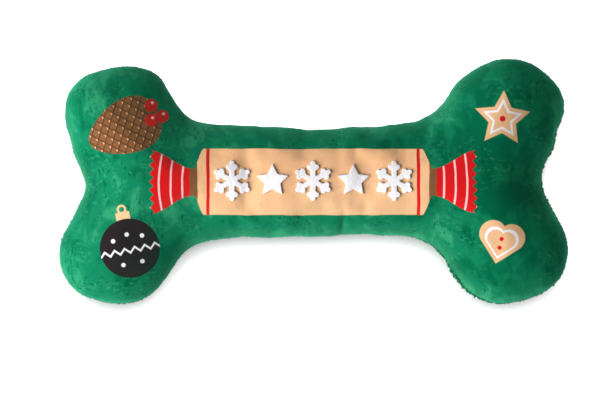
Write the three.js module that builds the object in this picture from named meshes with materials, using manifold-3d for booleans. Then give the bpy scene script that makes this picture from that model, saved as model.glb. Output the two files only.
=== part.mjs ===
// A stuffed plush dog toy in the shape of a bone, lying on its back with the printed panel up.
// Two sewn panels with turned-in seam allowances hold five wads of stuffing and two squeakers,
// and five felt motifs lie on the shaft. Millimetres, +Z up, +X along the bone, with the origin
// on the floor under the middle of the toy.

import * as THREE from 'three';
import { mergeVertices } from 'three/addons/utils/BufferGeometryUtils.js';
import Module from 'manifold-3d';

const wasm = await Module();
wasm.setup();

// Bone outline, along the seam
const boneLength = 458;
const boneWidth = 222;
const shaftWidth = 98;
const lobeRadius = 54;
const shaftFilletRadius = 44;
const notchFilletRadius = 27;

// The hand-stuffed lobes differ a little: how far each one reaches along and across the bone, its
// radius, and the radius of its fillet to the shaft, as shares of the sizes above
const lobeShares = {
  upper_left: { lengthShare: 0.98, widthShare: 0.932, radiusShare: 0.954, filletShare: 0.82 },
  lower_left: { lengthShare: 1, widthShare: 0.989, radiusShare: 0.987, filletShare: 1.14 },
  upper_right: { lengthShare: 0.987, widthShare: 1, radiusShare: 0.987, filletShare: 1.23 },
  lower_right: { lengthShare: 1, widthShare: 1, radiusShare: 1.02, filletShare: 0.82 },
};
const leftNotchShare = 0.89;
const rightNotchShare = 1.11;

// How full the toy is stuffed: the height of each panel over the seam in the middle of the shaft,
// how much fuller the ends are, and where along the half length they start and stop filling out
const frontCrown = 37;
const backCrown = 36;
const endFullnessShare = 1.14;
const fillingOutStartShare = 0.25;
const fillingOutStopShare = 0.8;

// The underside settles flat where it rests, this far below the seam
const settledDepth = 38.5;
const settlingBlend = 1;

// Panels
const panelThickness = 2;
const seamAllowance = 8;
const seamGap = 0.3;
const stuffingClearance = 0.35;

// Sewing threads
const threadDiameter = 1;
const threadClearance = 0.3;
const closingStitchReach = 1.8;

// Felt motifs
const feltThickness = 2.2;
const feltClearance = 0.3;
const motifSpacing = 36;
const snowflakeWidth = 36;
const snowflakeArmWidth = 4.2;
const snowflakeTwigLength = 5.6;
const starWidth = 30;
const twigPlaceShare = 0.58;
const starWaistShare = 0.5;

// Stuffing: each lobe's wad reaches this far in from the end of the bone
const wadGap = 0.3;
const lobeWadLength = 114;

// Squeakers, one in each end of the bone, this far in from the bottom of the notch
const squeakerInset = 54;
const fitClearance = 0.3;
const bulbDiameter = 48;
const bulbHeight = 27;
const bulbWall = 1.3;
const bulbLandDiameter = 17;
const pouchThickness = 0.8;
const pouchMouthDiameter = 18;
const pouchCornerRadius = 9;
const sleeveDiameter = 11;
const sleeveLength = 11;
const sleeveFlangeDiameter = 14;
const sleeveFlangeThickness = 1.5;
const sleeveBore = 7.2;
const reedLength = 8.5;
const reedWidth = 4.4;
const reedThickness = 0.3;
const airSlotWidth = 2.2;
const airSlotDepth = 1.5;

// How finely curves are divided
const ringCount = 6;
const shoulderSteps = 3;
const filletSteps = 3;
const shaftSteps = 4;
const lobeSteps = 10;
const notchSteps = 4;
const fineOutlineFactor = 4;
const threadSides = 6;
const stitchesPerStep = 4;
const latheSteps = 24;
const bulbSteps = 8;
const cornerSteps = 3;

// The angle on each lobe where the fan of the bone's end gives way to the shaft's cross lines
const shoulderAngle = THREE.MathUtils.degToRad(65);

// How far cuts run past what they cut, and the small lengths used in working the surface out
const overrun = 5;
const slopeStep = 0.5;
const leastAway = 0.0001;
const weldDistance = 0.001;

const seamHeight = settledDepth;
const halfShaft = shaftWidth / 2;
const root = new THREE.Group();

function colour(hex, roughness) {
  return new THREE.MeshStandardMaterial({ color: hex, roughness, metalness: 0 });
}

const materials = {
  plush: colour('#1b9a68', 0.95),
  felt: colour('#f4f2f8', 0.95),
  thread: colour('#0b5a3c', 0.8),
  fibre: colour('#f2f0ea', 1),
  pouch: colour('#e9e6dc', 0.95),
  bulb: colour('#f6f3ea', 0.5),
  sleeve: colour('#ffffff', 0.4),
  reed: colour('#d9dde0', 0.3),
};

function add(name, geometry, material, parent = root) {
  const mesh = new THREE.Mesh(geometry, material.clone());
  mesh.name = name;
  parent.add(mesh);
  return mesh;
}

// Joins the vertices that coincide, and drops the faces that this closes up
function welded(geometry) {
  const bare = geometry.clone();
  bare.deleteAttribute('normal');
  bare.deleteAttribute('uv');
  const merged = mergeVertices(bare, weldDistance);
  const kept = [];
  const index = merged.getIndex();
  for (let i = 0; i < index.count; i += 3) {
    const [a, b, c] = [index.getX(i), index.getX(i + 1), index.getX(i + 2)];
    if (a !== b && b !== c && c !== a) kept.push(a, b, c);
  }
  merged.setIndex(kept);
  return merged;
}

function solid(geometry) {
  const body = welded(geometry);
  return new wasm.Manifold(new wasm.Mesh({
    numProp: 3,
    vertProperties: new Float32Array(body.getAttribute('position').array),
    triVerts: new Uint32Array(body.getIndex().array),
  }));
}

function geometryOf(manifold) {
  const mesh = manifold.getMesh();
  const geometry = new THREE.BufferGeometry();
  geometry.setAttribute('position', new THREE.BufferAttribute(new Float32Array(mesh.vertProperties), 3));
  geometry.setIndex(Array.from(mesh.triVerts));
  geometry.computeVertexNormals();
  return geometry;
}

function box(bounds) {
  const size = bounds.getSize(new THREE.Vector3());
  const middle = bounds.getCenter(new THREE.Vector3());
  return new THREE.BoxGeometry(size.x, size.y, size.z).translate(middle.x, middle.y, middle.z);
}

// The outline of the bone

function lobe(name) {
  const share = lobeShares[name];
  const radius = lobeRadius * share.radiusShare;
  const sideX = name.endsWith('left') ? -1 : 1;
  const sideY = name.startsWith('lower') ? -1 : 1;
  const x = sideX * (boneLength / 2 * share.lengthShare - radius);
  const y = sideY * (boneWidth / 2 * share.widthShare - radius);
  const fillet = shaftFilletRadius * share.filletShare;
  return { centre: new THREE.Vector2(x, y), radius, sideX, sideY, fillet };
}

const upperLeft = lobe('upper_left');
const lowerLeft = lobe('lower_left');
const upperRight = lobe('upper_right');
const lowerRight = lobe('lower_right');

// The circle that rounds the corner between a lobe and the straight side of the shaft
function shaftFillet(of) {
  const y = of.sideY * (halfShaft + of.fillet);
  const reach = of.radius + of.fillet;
  const run = Math.sqrt(reach ** 2 - (y - of.centre.y) ** 2);
  return { centre: new THREE.Vector2(of.centre.x - of.sideX * run, y), radius: of.fillet };
}

// The circle that rounds the notch between the two lobes of one end, tangent to both
function notchFillet(upper, lower, share) {
  const radius = notchFilletRadius * share;
  const apart = lower.centre.clone().sub(upper.centre);
  const distance = apart.length();
  const fromUpper = upper.radius + radius;
  const fromLower = lower.radius + radius;
  const along = (distance ** 2 + fromUpper ** 2 - fromLower ** 2) / (2 * distance);
  const aside = Math.sqrt(fromUpper ** 2 - along ** 2) * upper.sideX;
  const direction = apart.normalize();
  const across = new THREE.Vector2(-direction.y, direction.x);
  const centre = upper.centre.clone().addScaledVector(direction, along).addScaledVector(across, aside);
  return { centre, radius };
}

function angleTo(circle, target) {
  return Math.atan2(target.centre.y - circle.centre.y, target.centre.x - circle.centre.x);
}

// Points on an arc, each with the outward direction of the bone there; a hollow arc runs
// clockwise and the bone lies outside its circle
function arcStations(circle, from, to, hollow, steps) {
  const turn = hollow ? -1 : 1;
  let sweep = (to - from) * turn;
  while (sweep < 0) sweep += 2 * Math.PI;
  const stations = [];
  for (let i = 0; i < steps; i += 1) {
    const angle = from + turn * sweep * i / steps;
    const outward = new THREE.Vector2(Math.cos(angle), Math.sin(angle));
    const point = circle.centre.clone().addScaledVector(outward, circle.radius);
    stations.push({ point, outward: outward.multiplyScalar(turn) });
  }
  return stations;
}

function lineStations(from, to, outward, steps) {
  const stations = [];
  for (let i = 0; i < steps; i += 1) {
    stations.push({ point: from.clone().lerp(to, i / steps), outward: outward.clone() });
  }
  return stations;
}

// One long side of the bone, from the shoulder of its first lobe to that of its last
function longSide(first, last, factor) {
  const up = new THREE.Vector2(0, first.sideY);
  const [near, far] = [shaftFillet(first), shaftFillet(last)];
  const flat = Math.atan2(-first.sideY, 0);
  const shoulder = first.sideY > 0 ? Math.PI - shoulderAngle : -shoulderAngle;
  const lastShoulder = first.sideY > 0 ? shoulderAngle : shoulderAngle - Math.PI;
  const foot = (circle) => circle.centre.clone().addScaledVector(up, -circle.radius);
  return [
    arcStations(first, shoulder, angleTo(first, near), false, shoulderSteps * factor),
    arcStations(near, angleTo(near, first), flat, true, filletSteps * factor),
    lineStations(foot(near), foot(far), up, shaftSteps * factor),
    arcStations(far, flat, angleTo(far, last), true, filletSteps * factor),
    arcStations(last, angleTo(last, far), lastShoulder, false, shoulderSteps * factor),
  ].flat();
}

// One end of the bone, round both lobes and the notch between them
function endSide(first, last, notch, factor) {
  const shoulder = first.sideY > 0 ? shoulderAngle : shoulderAngle - Math.PI;
  const lastShoulder = first.sideY > 0 ? -shoulderAngle : Math.PI - shoulderAngle;
  return [
    arcStations(first, shoulder, angleTo(first, notch), false, lobeSteps * factor),
    arcStations(notch, angleTo(notch, first), angleTo(notch, last), true, notchSteps * factor),
    arcStations(last, angleTo(last, notch), lastShoulder, false, lobeSteps * factor),
  ].flat();
}

const leftNotch = notchFillet(upperLeft, lowerLeft, leftNotchShare);
const rightNotch = notchFillet(upperRight, lowerRight, rightNotchShare);

function outlineSides(factor) {
  return {
    top: longSide(upperRight, upperLeft, factor),
    left: endSide(upperLeft, lowerLeft, leftNotch, factor),
    bottom: longSide(lowerLeft, lowerRight, factor),
    right: endSide(lowerRight, upperRight, rightNotch, factor),
  };
}

// Every station also knows its place on the spine, the line that the rings of the surface close on:
// the long sides meet it pair by pair, and each end fans out from its last point
function outlineStations() {
  const { top, left, bottom, right } = outlineSides(1);
  const count = top.length;
  const bottomBack = [right[0], ...bottom.slice(1).reverse(), bottom[0]];
  const topOn = [...top, left[0]];
  const spine = topOn.map((station, i) => (station.point.x + bottomBack[i].point.x) / 2);
  top.forEach((station, i) => { station.spineX = spine[i]; });
  bottom.forEach((station, i) => { station.spineX = spine[count - i]; });
  left.forEach((station) => { station.spineX = spine[count]; });
  right.forEach((station) => { station.spineX = spine[0]; });
  return [...top, ...left, ...bottom, ...right];
}

const stations = outlineStations();
const fineOutline = Object.values(outlineSides(fineOutlineFactor)).flat().map((station) => station.point);

// A smooth measure of how far a point lies inside the outline, zero on the seam
function reachInside(x, y) {
  let pull = 0;
  fineOutline.forEach((a, i) => {
    const b = fineOutline[(i + 1) % fineOutline.length];
    const length = a.distanceTo(b);
    const [ux, uy] = [(b.x - a.x) / length, (b.y - a.y) / length];
    const away = Math.max(Math.abs((a.x - x) * uy - (a.y - y) * ux), leastAway);
    const [nearEnd, farEnd] = [(a.x - x) * ux + (a.y - y) * uy, (b.x - x) * ux + (b.y - y) * uy];
    pull += (farEnd / Math.hypot(farEnd, away) - nearEnd / Math.hypot(nearEnd, away)) / away ** 2;
  });
  return Math.sqrt(2 / pull);
}

const shaftReach = halfShaft / Math.SQRT2;

// How high a panel stands over the seam, before and after the underside has settled
function puffedHeight(x, y, crown) {
  const along = Math.abs(x) / (boneLength / 2);
  const filled = THREE.MathUtils.smoothstep(along, fillingOutStartShare, fillingOutStopShare);
  const fullness = 1 + (endFullnessShare - 1) * filled;
  return crown * fullness * Math.sqrt(reachInside(x, y) / shaftReach);
}

function settled(height) {
  if (height <= settledDepth - settlingBlend) return height;
  if (height >= settledDepth + settlingBlend) return settledDepth;
  return settledDepth - (settledDepth + settlingBlend - height) ** 2 / (4 * settlingBlend);
}

const sides = {
  front: { up: 1, height: (x, y) => puffedHeight(x, y, frontCrown) },
  back: { up: -1, height: (x, y) => settled(puffedHeight(x, y, backCrown)) },
};

// A point of a panel's outer face moved inwards, square to that face
function sunk(side, x, y, depth) {
  const height = side.height(x, y);
  const slopeX = (side.height(x + slopeStep, y) - side.height(x - slopeStep, y)) / (2 * slopeStep);
  const slopeY = (side.height(x, y + slopeStep) - side.height(x, y - slopeStep)) / (2 * slopeStep);
  const inward = new THREE.Vector3(slopeX, slopeY, -1).normalize().multiplyScalar(depth);
  return new THREE.Vector3(x + inward.x, y + inward.y, seamHeight + side.up * (height + inward.z));
}

// A ring of points all round the outline, drawn in from it and at one height over the seam; the
// level of a ring counts the rings from the rim, which is level 0, to the spine
function rimRing(inset, height) {
  const points = stations.map(({ point, outward }) => {
    const at = point.clone().addScaledVector(outward, -inset);
    return new THREE.Vector3(at.x, at.y, seamHeight + height);
  });
  return { points, level: 0 };
}

// The rings of a panel's outer face, or of a face sunk below it, from the rim to the spine
function faceRings(side, depth, rim) {
  const rings = [rim];
  for (let level = 1; level <= ringCount; level += 1) {
    const share = 1 - Math.cos(level / ringCount * Math.PI / 2);
    const points = stations.map(({ point, spineX }) => {
      const last = level === ringCount;
      const x = last ? spineX : point.x + (spineX - point.x) * share;
      const y = last ? 0 : point.y * (1 - share);
      return sunk(side, x, y, depth);
    });
    rings.push({ points, level });
  }
  return rings;
}

// A closed body from rings over the same stations, listed from the top down along the outside.
// Every quad is parted from its rim corner, so that faces sunk one below another stay parallel
function ringedBody(rings) {
  const positions = rings.flatMap(({ points }) => points).flatMap((point) => point.toArray());
  const around = stations.length;
  const index = [];
  for (let ring = 0; ring + 1 < rings.length; ring += 1) {
    const toSpine = rings[ring + 1].level > rings[ring].level;
    for (let i = 0; i < around; i += 1) {
      const next = (i + 1) % around;
      const [a, b] = [ring * around + i, ring * around + next];
      const [c, d] = [a + around, b + around];
      index.push(...(toSpine ? [a, c, d, a, d, b] : [a, c, b, b, c, d]));
    }
  }
  const geometry = new THREE.BufferGeometry();
  geometry.setAttribute('position', new THREE.Float32BufferAttribute(positions, 3));
  geometry.setIndex(index);
  const body = welded(geometry);
  body.computeVertexNormals();
  return body;
}

// Panels: the outer face, the seam allowance turned in and back, and the inner face

const seamFace = seamGap / 2;
const allowanceFace = seamFace + panelThickness;

function panel(side) {
  const { up } = side;
  const outer = faceRings(side, 0, rimRing(0, up * seamFace));
  const inner = faceRings(side, panelThickness, rimRing(panelThickness, up * allowanceFace));
  const turnedEdge = [rimRing(seamAllowance, up * seamFace), rimRing(seamAllowance, up * allowanceFace)];
  const rings = [...outer.reverse(), ...turnedEdge, ...inner];
  return ringedBody(up > 0 ? rings : rings.reverse());
}

add('front_panel', panel(sides.front), materials.plush);
add('back_panel', panel(sides.back), materials.plush);

// Seam threads: each lies on the inside of one seam allowance, all round the bone

const threadRadius = threadDiameter / 2;
const threadHeight = allowanceFace + threadClearance + threadRadius;
const threadInset = panelThickness + threadClearance + threadDiameter;

function seamThread(up) {
  const rings = [];
  for (let i = 0; i <= threadSides; i += 1) {
    const angle = i / threadSides * 2 * Math.PI;
    const inset = threadInset + threadRadius * Math.sin(angle);
    rings.push(rimRing(inset, up * threadHeight + threadRadius * Math.cos(angle)));
  }
  return ringedBody(rings.reverse());
}

add('seam_needle_thread', seamThread(sides.front.up), materials.thread);
add('seam_bobbin_thread', seamThread(sides.back.up), materials.thread);

// Closing thread: ladder stitches across the seam, where the toy was stuffed and sewn up by hand

function closingThread() {
  const outside = threadClearance + threadRadius;
  const { top, left } = outlineSides(1);
  const shaftEnd = shoulderSteps + filletSteps + shaftSteps;
  const first = top.length + left.length + shaftEnd;
  const count = (filletSteps + shoulderSteps) * stitchesPerStep;
  const points = [];
  for (let i = 0; i <= count; i += 1) {
    const from = stations[first + Math.floor(i / stitchesPerStep)];
    const to = stations[first + Math.floor(i / stitchesPerStep) + 1];
    const share = i % stitchesPerStep / stitchesPerStep;
    const at = from.point.clone().lerp(to.point, share);
    at.addScaledVector(from.outward.clone().lerp(to.outward, share).normalize(), outside);
    points.push(new THREE.Vector3(at.x, at.y, seamHeight + (i % 2 ? 1 : -1) * closingStitchReach));
  }
  const section = new THREE.Shape();
  for (let i = 0; i < threadSides; i += 1) {
    const angle = i / threadSides * 2 * Math.PI;
    const [x, y] = [threadRadius * Math.cos(angle), threadRadius * Math.sin(angle)];
    if (i === 0) section.moveTo(x, y);
    else section.lineTo(x, y);
  }
  const path = new THREE.CatmullRomCurve3(points);
  return new THREE.ExtrudeGeometry(section, { steps: 2 * count, extrudePath: path });
}

add('closing_thread', closingThread(), materials.thread);

// Felt motifs: prisms cut out of a layer that follows the front panel

function feltLayer() {
  const [low, high] = [feltClearance, feltClearance + feltThickness];
  const lower = faceRings(sides.front, -low, rimRing(-low, seamFace));
  const upper = faceRings(sides.front, -high, rimRing(-high, seamFace));
  return solid(ringedBody([...upper.reverse(), ...lower]));
}

const motifTop = seamHeight + frontCrown * endFullnessShare + feltThickness + overrun;
const motifFoot = seamHeight + frontCrown / 2;

function prism(points, x) {
  const shape = new THREE.Shape(points);
  const block = new THREE.ExtrudeGeometry(shape, { depth: motifTop - motifFoot, bevelEnabled: false });
  return solid(block.translate(x, 0, motifFoot));
}

function starPoints() {
  const points = [];
  for (let i = 0; i < 10; i += 1) {
    const radius = starWidth / 2 * (i % 2 ? starWaistShare : 1);
    const angle = Math.PI / 2 + i * Math.PI / 5;
    points.push(new THREE.Vector2(radius * Math.cos(angle), radius * Math.sin(angle)));
  }
  return points;
}

// A bar of the arm's width from one point in a direction, as the four corners of its outline
function barPoints(from, angle, length) {
  const along = new THREE.Vector2(Math.cos(angle), Math.sin(angle));
  const across = new THREE.Vector2(-along.y, along.x).multiplyScalar(snowflakeArmWidth / 2);
  const to = from.clone().addScaledVector(along, length);
  return [from.clone().sub(across), to.clone().sub(across), to.clone().add(across), from.clone().add(across)];
}

function snowflake(x) {
  const middle = new THREE.Vector2(0, 0);
  const armLength = snowflakeWidth / 2;
  const turn = Math.PI / 3;
  const bars = [];
  for (let arm = 0; arm < 6; arm += 1) {
    const angle = (arm + 0.5) * turn;
    const fork = new THREE.Vector2(Math.cos(angle), Math.sin(angle));
    fork.multiplyScalar(armLength * twigPlaceShare);
    bars.push(barPoints(middle, angle, armLength));
    bars.push(barPoints(fork, angle - turn, snowflakeTwigLength));
    bars.push(barPoints(fork, angle + turn, snowflakeTwigLength));
  }
  return bars.map((bar) => prism(bar, x)).reduce((flake, bar) => flake.add(bar));
}

const layer = feltLayer();
['snowflake_left', 'star_left', 'snowflake_middle', 'star_right', 'snowflake_right'].forEach((name, i) => {
  const x = (i - 2) * motifSpacing;
  const cutter = name.startsWith('star') ? prism(starPoints(), x) : snowflake(x);
  add(name, geometryOf(layer.intersect(cutter)), materials.felt);
});

// Squeakers: all their sizes stack up from the bulb, whose middle lies at the height of the seam

const sleeveRadius = sleeveDiameter / 2;
const boreRadius = sleeveBore / 2;
const bulbRadius = bulbDiameter / 2;
const bulbTop = bulbHeight / 2;
const neckRadius = sleeveRadius + fitClearance;
const flangeFoot = bulbTop + fitClearance;
const pouchFoot = -bulbTop - fitClearance - pouchThickness;
const pouchTop = flangeFoot + sleeveFlangeThickness + fitClearance + pouchThickness;
const pouchRadius = bulbRadius + fitClearance + pouchThickness;

function turned(profile) {
  return welded(new THREE.LatheGeometry(profile, latheSteps).rotateX(Math.PI / 2));
}

// Half of the bulb's section, from the middle of its base, round the rim, to its flat land
function bulbSection(radius, height, landRadius) {
  const points = [new THREE.Vector2(0, -height)];
  for (let i = 0; i <= bulbSteps; i += 1) {
    const angle = Math.PI * (i / bulbSteps - 0.5);
    const reach = landRadius + (radius - landRadius) * Math.cos(angle);
    points.push(new THREE.Vector2(reach, height * Math.sin(angle)));
  }
  return points;
}

function bulb() {
  const landRadius = bulbLandDiameter / 2;
  const outer = bulbSection(bulbRadius, bulbTop, landRadius);
  const inner = bulbSection(bulbRadius - bulbWall, bulbTop - bulbWall, landRadius);
  const neck = [new THREE.Vector2(neckRadius, bulbTop), new THREE.Vector2(neckRadius, bulbTop - bulbWall)];
  return turned([...outer, ...neck, ...inner.reverse()]);
}

// Half of the pouch's section, from the middle of its base to the edge of its open mouth
function pouchSection(radius, foot, top, corner) {
  const points = [new THREE.Vector2(0, foot)];
  for (const [height, start] of [[foot + corner, -0.5], [top - corner, 0]]) {
    for (let i = 0; i <= cornerSteps; i += 1) {
      const angle = Math.PI * (start + i / cornerSteps / 2);
      const x = radius - corner + corner * Math.cos(angle);
      points.push(new THREE.Vector2(x, height + corner * Math.sin(angle)));
    }
  }
  points.push(new THREE.Vector2(pouchMouthDiameter / 2, top));
  return points;
}

function pouch() {
  const outer = pouchSection(pouchRadius, pouchFoot, pouchTop, pouchCornerRadius);
  const wall = pouchThickness;
  const inner = pouchSection(pouchRadius - wall, pouchFoot + wall, pouchTop - wall, pouchCornerRadius - wall);
  return turned([...outer, ...inner.reverse()]);
}

function reedHolder() {
  const flangeRadius = sleeveFlangeDiameter / 2;
  const top = flangeFoot + sleeveFlangeThickness;
  const foot = top - sleeveLength;
  return turned([
    [boreRadius, foot], [sleeveRadius, foot], [sleeveRadius, flangeFoot],
    [flangeRadius, flangeFoot], [flangeRadius, top], [boreRadius, top], [boreRadius, foot],
  ].map(([x, y]) => new THREE.Vector2(x, y)));
}

// The half-round block that the reed lies on, with the slot that the air comes through
function reedBlock() {
  const radius = boreRadius - fitClearance;
  const half = airSlotWidth / 2;
  const shape = new THREE.Shape();
  shape.absarc(0, 0, radius, Math.PI, 2 * Math.PI, false);
  shape.lineTo(half, 0);
  shape.lineTo(half, -airSlotDepth);
  shape.lineTo(-half, -airSlotDepth);
  shape.lineTo(-half, 0);
  shape.closePath();
  const block = new THREE.ExtrudeGeometry(shape, {
    depth: sleeveLength, bevelEnabled: false, curveSegments: latheSteps / 4,
  });
  return welded(block.translate(0, 0, flangeFoot + sleeveFlangeThickness - sleeveLength));
}

function reed() {
  const top = flangeFoot + sleeveFlangeThickness;
  return box(new THREE.Box3(
    new THREE.Vector3(-reedWidth / 2, fitClearance, top - reedLength),
    new THREE.Vector3(reedWidth / 2, fitClearance + reedThickness, top),
  ));
}

const squeakerPlaces = {
  left: leftNotch.centre.x + leftNotch.radius + squeakerInset,
  right: rightNotch.centre.x - rightNotch.radius - squeakerInset,
};

for (const [side, place] of Object.entries(squeakerPlaces)) {
  const squeaker = new THREE.Group();
  squeaker.position.set(place, 0, seamHeight);
  root.add(squeaker);
  add(`${side}_pouch`, pouch(), materials.pouch, squeaker);
  add(`${side}_bulb`, bulb(), materials.bulb, squeaker);
  add(`${side}_reed_holder`, reedHolder(), materials.sleeve, squeaker);
  add(`${side}_reed_block`, reedBlock(), materials.sleeve, squeaker);
  add(`${side}_reed`, reed(), materials.reed, squeaker);
}

// Stuffing: one full body, grooved for the seam, parted into wads and hollowed for the squeakers

const grooveHeight = threadHeight + threadRadius + threadClearance;
const wallLean = grooveHeight ** 2 * shaftReach / Math.min(frontCrown, backCrown) ** 2;
const stuffingInset = panelThickness + stuffingClearance + wallLean;

function stuffing() {
  const depth = panelThickness + stuffingClearance;
  const grooveInset = seamAllowance + stuffingClearance;
  const upper = faceRings(sides.front, depth, rimRing(stuffingInset, grooveHeight));
  const lower = faceRings(sides.back, depth, rimRing(stuffingInset, -grooveHeight));
  const groove = [rimRing(grooveInset, grooveHeight), rimRing(grooveInset, -grooveHeight)];
  return solid(ringedBody([...upper.reverse(), ...groove, ...lower]));
}

function pocket(place) {
  const radius = pouchRadius + fitClearance;
  const [foot, top] = [pouchFoot - fitClearance, pouchTop + fitClearance];
  const section = pouchSection(radius, foot, top, pouchCornerRadius);
  section[section.length - 1] = new THREE.Vector2(0, top);
  return solid(turned(section).translate(place, 0, seamHeight));
}

const full = stuffing().subtract(pocket(squeakerPlaces.left)).subtract(pocket(squeakerPlaces.right));

function wad(bounds) {
  return geometryOf(full.intersect(solid(box(bounds))));
}

const wadEdge = boneLength / 2 - lobeWadLength;
const farX = boneLength / 2 + overrun;
const farY = boneWidth / 2 + overrun;
const farZ = seamHeight + 2 * frontCrown * endFullnessShare;
const shaftBounds = new THREE.Box3(
  new THREE.Vector3(-wadEdge, -farY, -overrun),
  new THREE.Vector3(wadEdge, farY, farZ),
);
add('fill_shaft', wad(shaftBounds), materials.fibre);
for (const name of Object.keys(lobeShares)) {
  const { sideX, sideY } = lobe(name);
  const bounds = new THREE.Box3().setFromPoints([
    new THREE.Vector3(sideX * (wadEdge + wadGap), sideY * wadGap / 2, -overrun),
    new THREE.Vector3(sideX * farX, sideY * farY, farZ),
  ]);
  add(`fill_${name}_lobe`, wad(bounds), materials.fibre);
}

export default root;
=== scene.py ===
"""A stuffed plush dog toy in the shape of a bone, lying on its back with the printed cover up.

Two plush covers are sewn together round the edge, turned, stuffed, and closed by hand. White felt
motifs are stitched to the shaft, and a squeaker in a cloth pouch lies in the stuffing of each end.
Metres, +Z up, +X along the bone, with the origin on the floor under the middle of the toy.
"""

import math
import random
from functools import partialmethod
from types import SimpleNamespace

import bmesh
import bpy
import numpy as np
from bmesh.types import BMEdge, BMVert
from mathutils import Matrix, Vector, noise
from mathutils.bvhtree import BVHTree


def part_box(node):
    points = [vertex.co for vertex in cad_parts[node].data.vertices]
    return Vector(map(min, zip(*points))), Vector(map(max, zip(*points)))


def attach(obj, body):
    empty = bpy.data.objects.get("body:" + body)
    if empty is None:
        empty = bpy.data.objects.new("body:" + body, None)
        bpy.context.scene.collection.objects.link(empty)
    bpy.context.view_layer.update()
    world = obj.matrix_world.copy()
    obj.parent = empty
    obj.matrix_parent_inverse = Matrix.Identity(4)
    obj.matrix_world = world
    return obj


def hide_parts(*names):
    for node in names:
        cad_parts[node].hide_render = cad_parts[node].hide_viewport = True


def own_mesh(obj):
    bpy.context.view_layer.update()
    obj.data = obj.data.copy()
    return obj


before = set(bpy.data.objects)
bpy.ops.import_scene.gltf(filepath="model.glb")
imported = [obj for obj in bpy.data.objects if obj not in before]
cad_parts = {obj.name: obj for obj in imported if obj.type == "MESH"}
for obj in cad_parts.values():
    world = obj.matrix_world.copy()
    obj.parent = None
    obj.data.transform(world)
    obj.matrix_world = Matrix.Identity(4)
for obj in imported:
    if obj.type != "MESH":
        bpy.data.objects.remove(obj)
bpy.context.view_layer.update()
TOY = "toy_body"

bl_info = {
    "name": "Plush Bone Toy",
    "version": (1, 0, 0),
    "blender": (4, 5, 0),
    "location": "View3D > Sidebar > Plush Bone",
    "description": "Dresses a bone-shaped plush dog toy: covers, pile, felt, stitches and squeakers",
    "category": "Object",
}


def length(name, description, default):
    """A size in metres that the user can change."""
    return bpy.props.FloatProperty(
        name=name, description=description, default=default, min=0, subtype="DISTANCE", unit="LENGTH",
        precision=5,
    )


def share(name, description, default):
    """A plain number that the user can change."""
    return bpy.props.FloatProperty(name=name, description=description, default=default, precision=3)


def colour(name, description, *screen):
    """A colour that the user can change, given as it is read off a screen, 0 to 255."""
    shares = [value / 255 for value in screen]
    linear = [s / 12.92 if s <= 0.04045 else ((s + 0.055) / 1.055) ** 2.4 for s in shares]
    return bpy.props.FloatVectorProperty(
        name=name, description=description, default=linear, size=3, min=0, max=1, subtype="COLOR",
    )


class PlushBoneSizes(bpy.types.PropertyGroup):
    """The sizes of the toy's covers, pile, felt and stitches"""

    bone_length: length("Bone length", "Over both ends, along the seam", 0.458)
    bone_width: length("Bone width", "Over the lobes of one end, along the seam", 0.222)
    shaft_width: length("Shaft width", "Across the straight part, along the seam", 0.098)
    lobe_radius: length("Lobe radius", "Radius of the round lobes at the ends", 0.054)
    shaft_fillet: length("Shaft fillet", "Radius between a lobe and the shaft", 0.044)
    notch_fillet: length("Notch fillet", "Radius between the two lobes of an end", 0.027)
    front_crown: length("Front crown", "Height of the front over the seam, mid shaft", 0.037)
    back_crown: length("Back crown", "Depth of the back under the seam, mid shaft", 0.036)
    end_fullness: share("End fullness", "How much fuller the ends are than the shaft", 1.14)
    seam_height: length("Seam height", "Height of the seam over the floor", 0.0385)
    seam_gap: length("Seam gap", "Between the two covers at the seam", 0.0003)
    seam_allowance: length("Seam allowance", "Cloth turned in along the seam", 0.008)
    groove_depth: length("Groove depth", "How far the seam draws in", 0.0012)
    groove_width: length("Groove width", "Width of the drawn-in seam", 0.0036)
    cloth_thickness: length("Cloth thickness", "Thickness of the plush cloth", 0.0016)
    cloth_spacing: length("Cloth spacing", "Distance between the cloth's points in the simulation", 0.0036)
    swelling_cap: length("Swelling cap", "How far the stuffing may push the cloth out", 0.0022)
    sinking_cap: length("Sinking cap", "How far the cloth may sink into the stuffing", 0.0006)
    felt_thickness: length("Felt thickness", "Thickness of the white felt", 0.0021)
    stitch_length: length("Stitch length", "One machine stitch along the seam", 0.0034)
    thread_diameter: length("Thread diameter", "Sewing thread", 0.0007)
    tuft_length: length("Tuft length", "How far the pile stands out along the seam", 0.0014)


class PlushBoneColours(bpy.types.PropertyGroup):
    """The colours of the toy's cloth, print, felt and thread"""

    pile: colour("Pile", "Green pile brushed level", 12, 114, 78)
    pile_light: colour("Pile, brushed back", "Where the pile catches the light", 43, 140, 98)
    # Painted sheen: the paler pile painted along the seam, where the cloth turns away
    pile_rim_sheen: colour("Pile, standing open", "Along the seam, where the pile opens", 88, 162, 116)
    pile_mark: colour("Pile, small marks", "Small marks where the pile is pressed apart", 0, 74, 48)
    pile_dark: colour("Pile, parted", "Where the pile parts or leans away", 0, 95, 63)
    paper: colour("Cracker paper", "Tan barrel of the printed cracker", 229, 180, 135)
    # Painted light: the tan paper is painted paler along its upper edge, against the shade that falls there
    paper_painted_lit: colour("Paper, upper side", "Tan paper along its upper edge", 250, 192, 143)
    paper_dark: colour("Paper shade", "Folds of the tan paper and tips of the cone's scales", 218, 154, 106)
    red: colour("Cracker red", "Red ends of the printed cracker", 208, 14, 25)
    stripe: colour("Stripe", "Pale stripes on the red", 255, 196, 192)
    brown: colour("Cone brown", "Printed pine cone", 126, 82, 50)
    brown_dark: colour("Cone shade", "Gaps between the scales of the cone", 84, 52, 34)
    black: colour("Bauble black", "Printed bauble", 38, 24, 31)
    white: colour("White", "Felt motifs and printed snow", 238, 235, 239)
    thread: colour("Thread", "Green sewing thread", 8, 84, 58)


# The bone's outline

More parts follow.
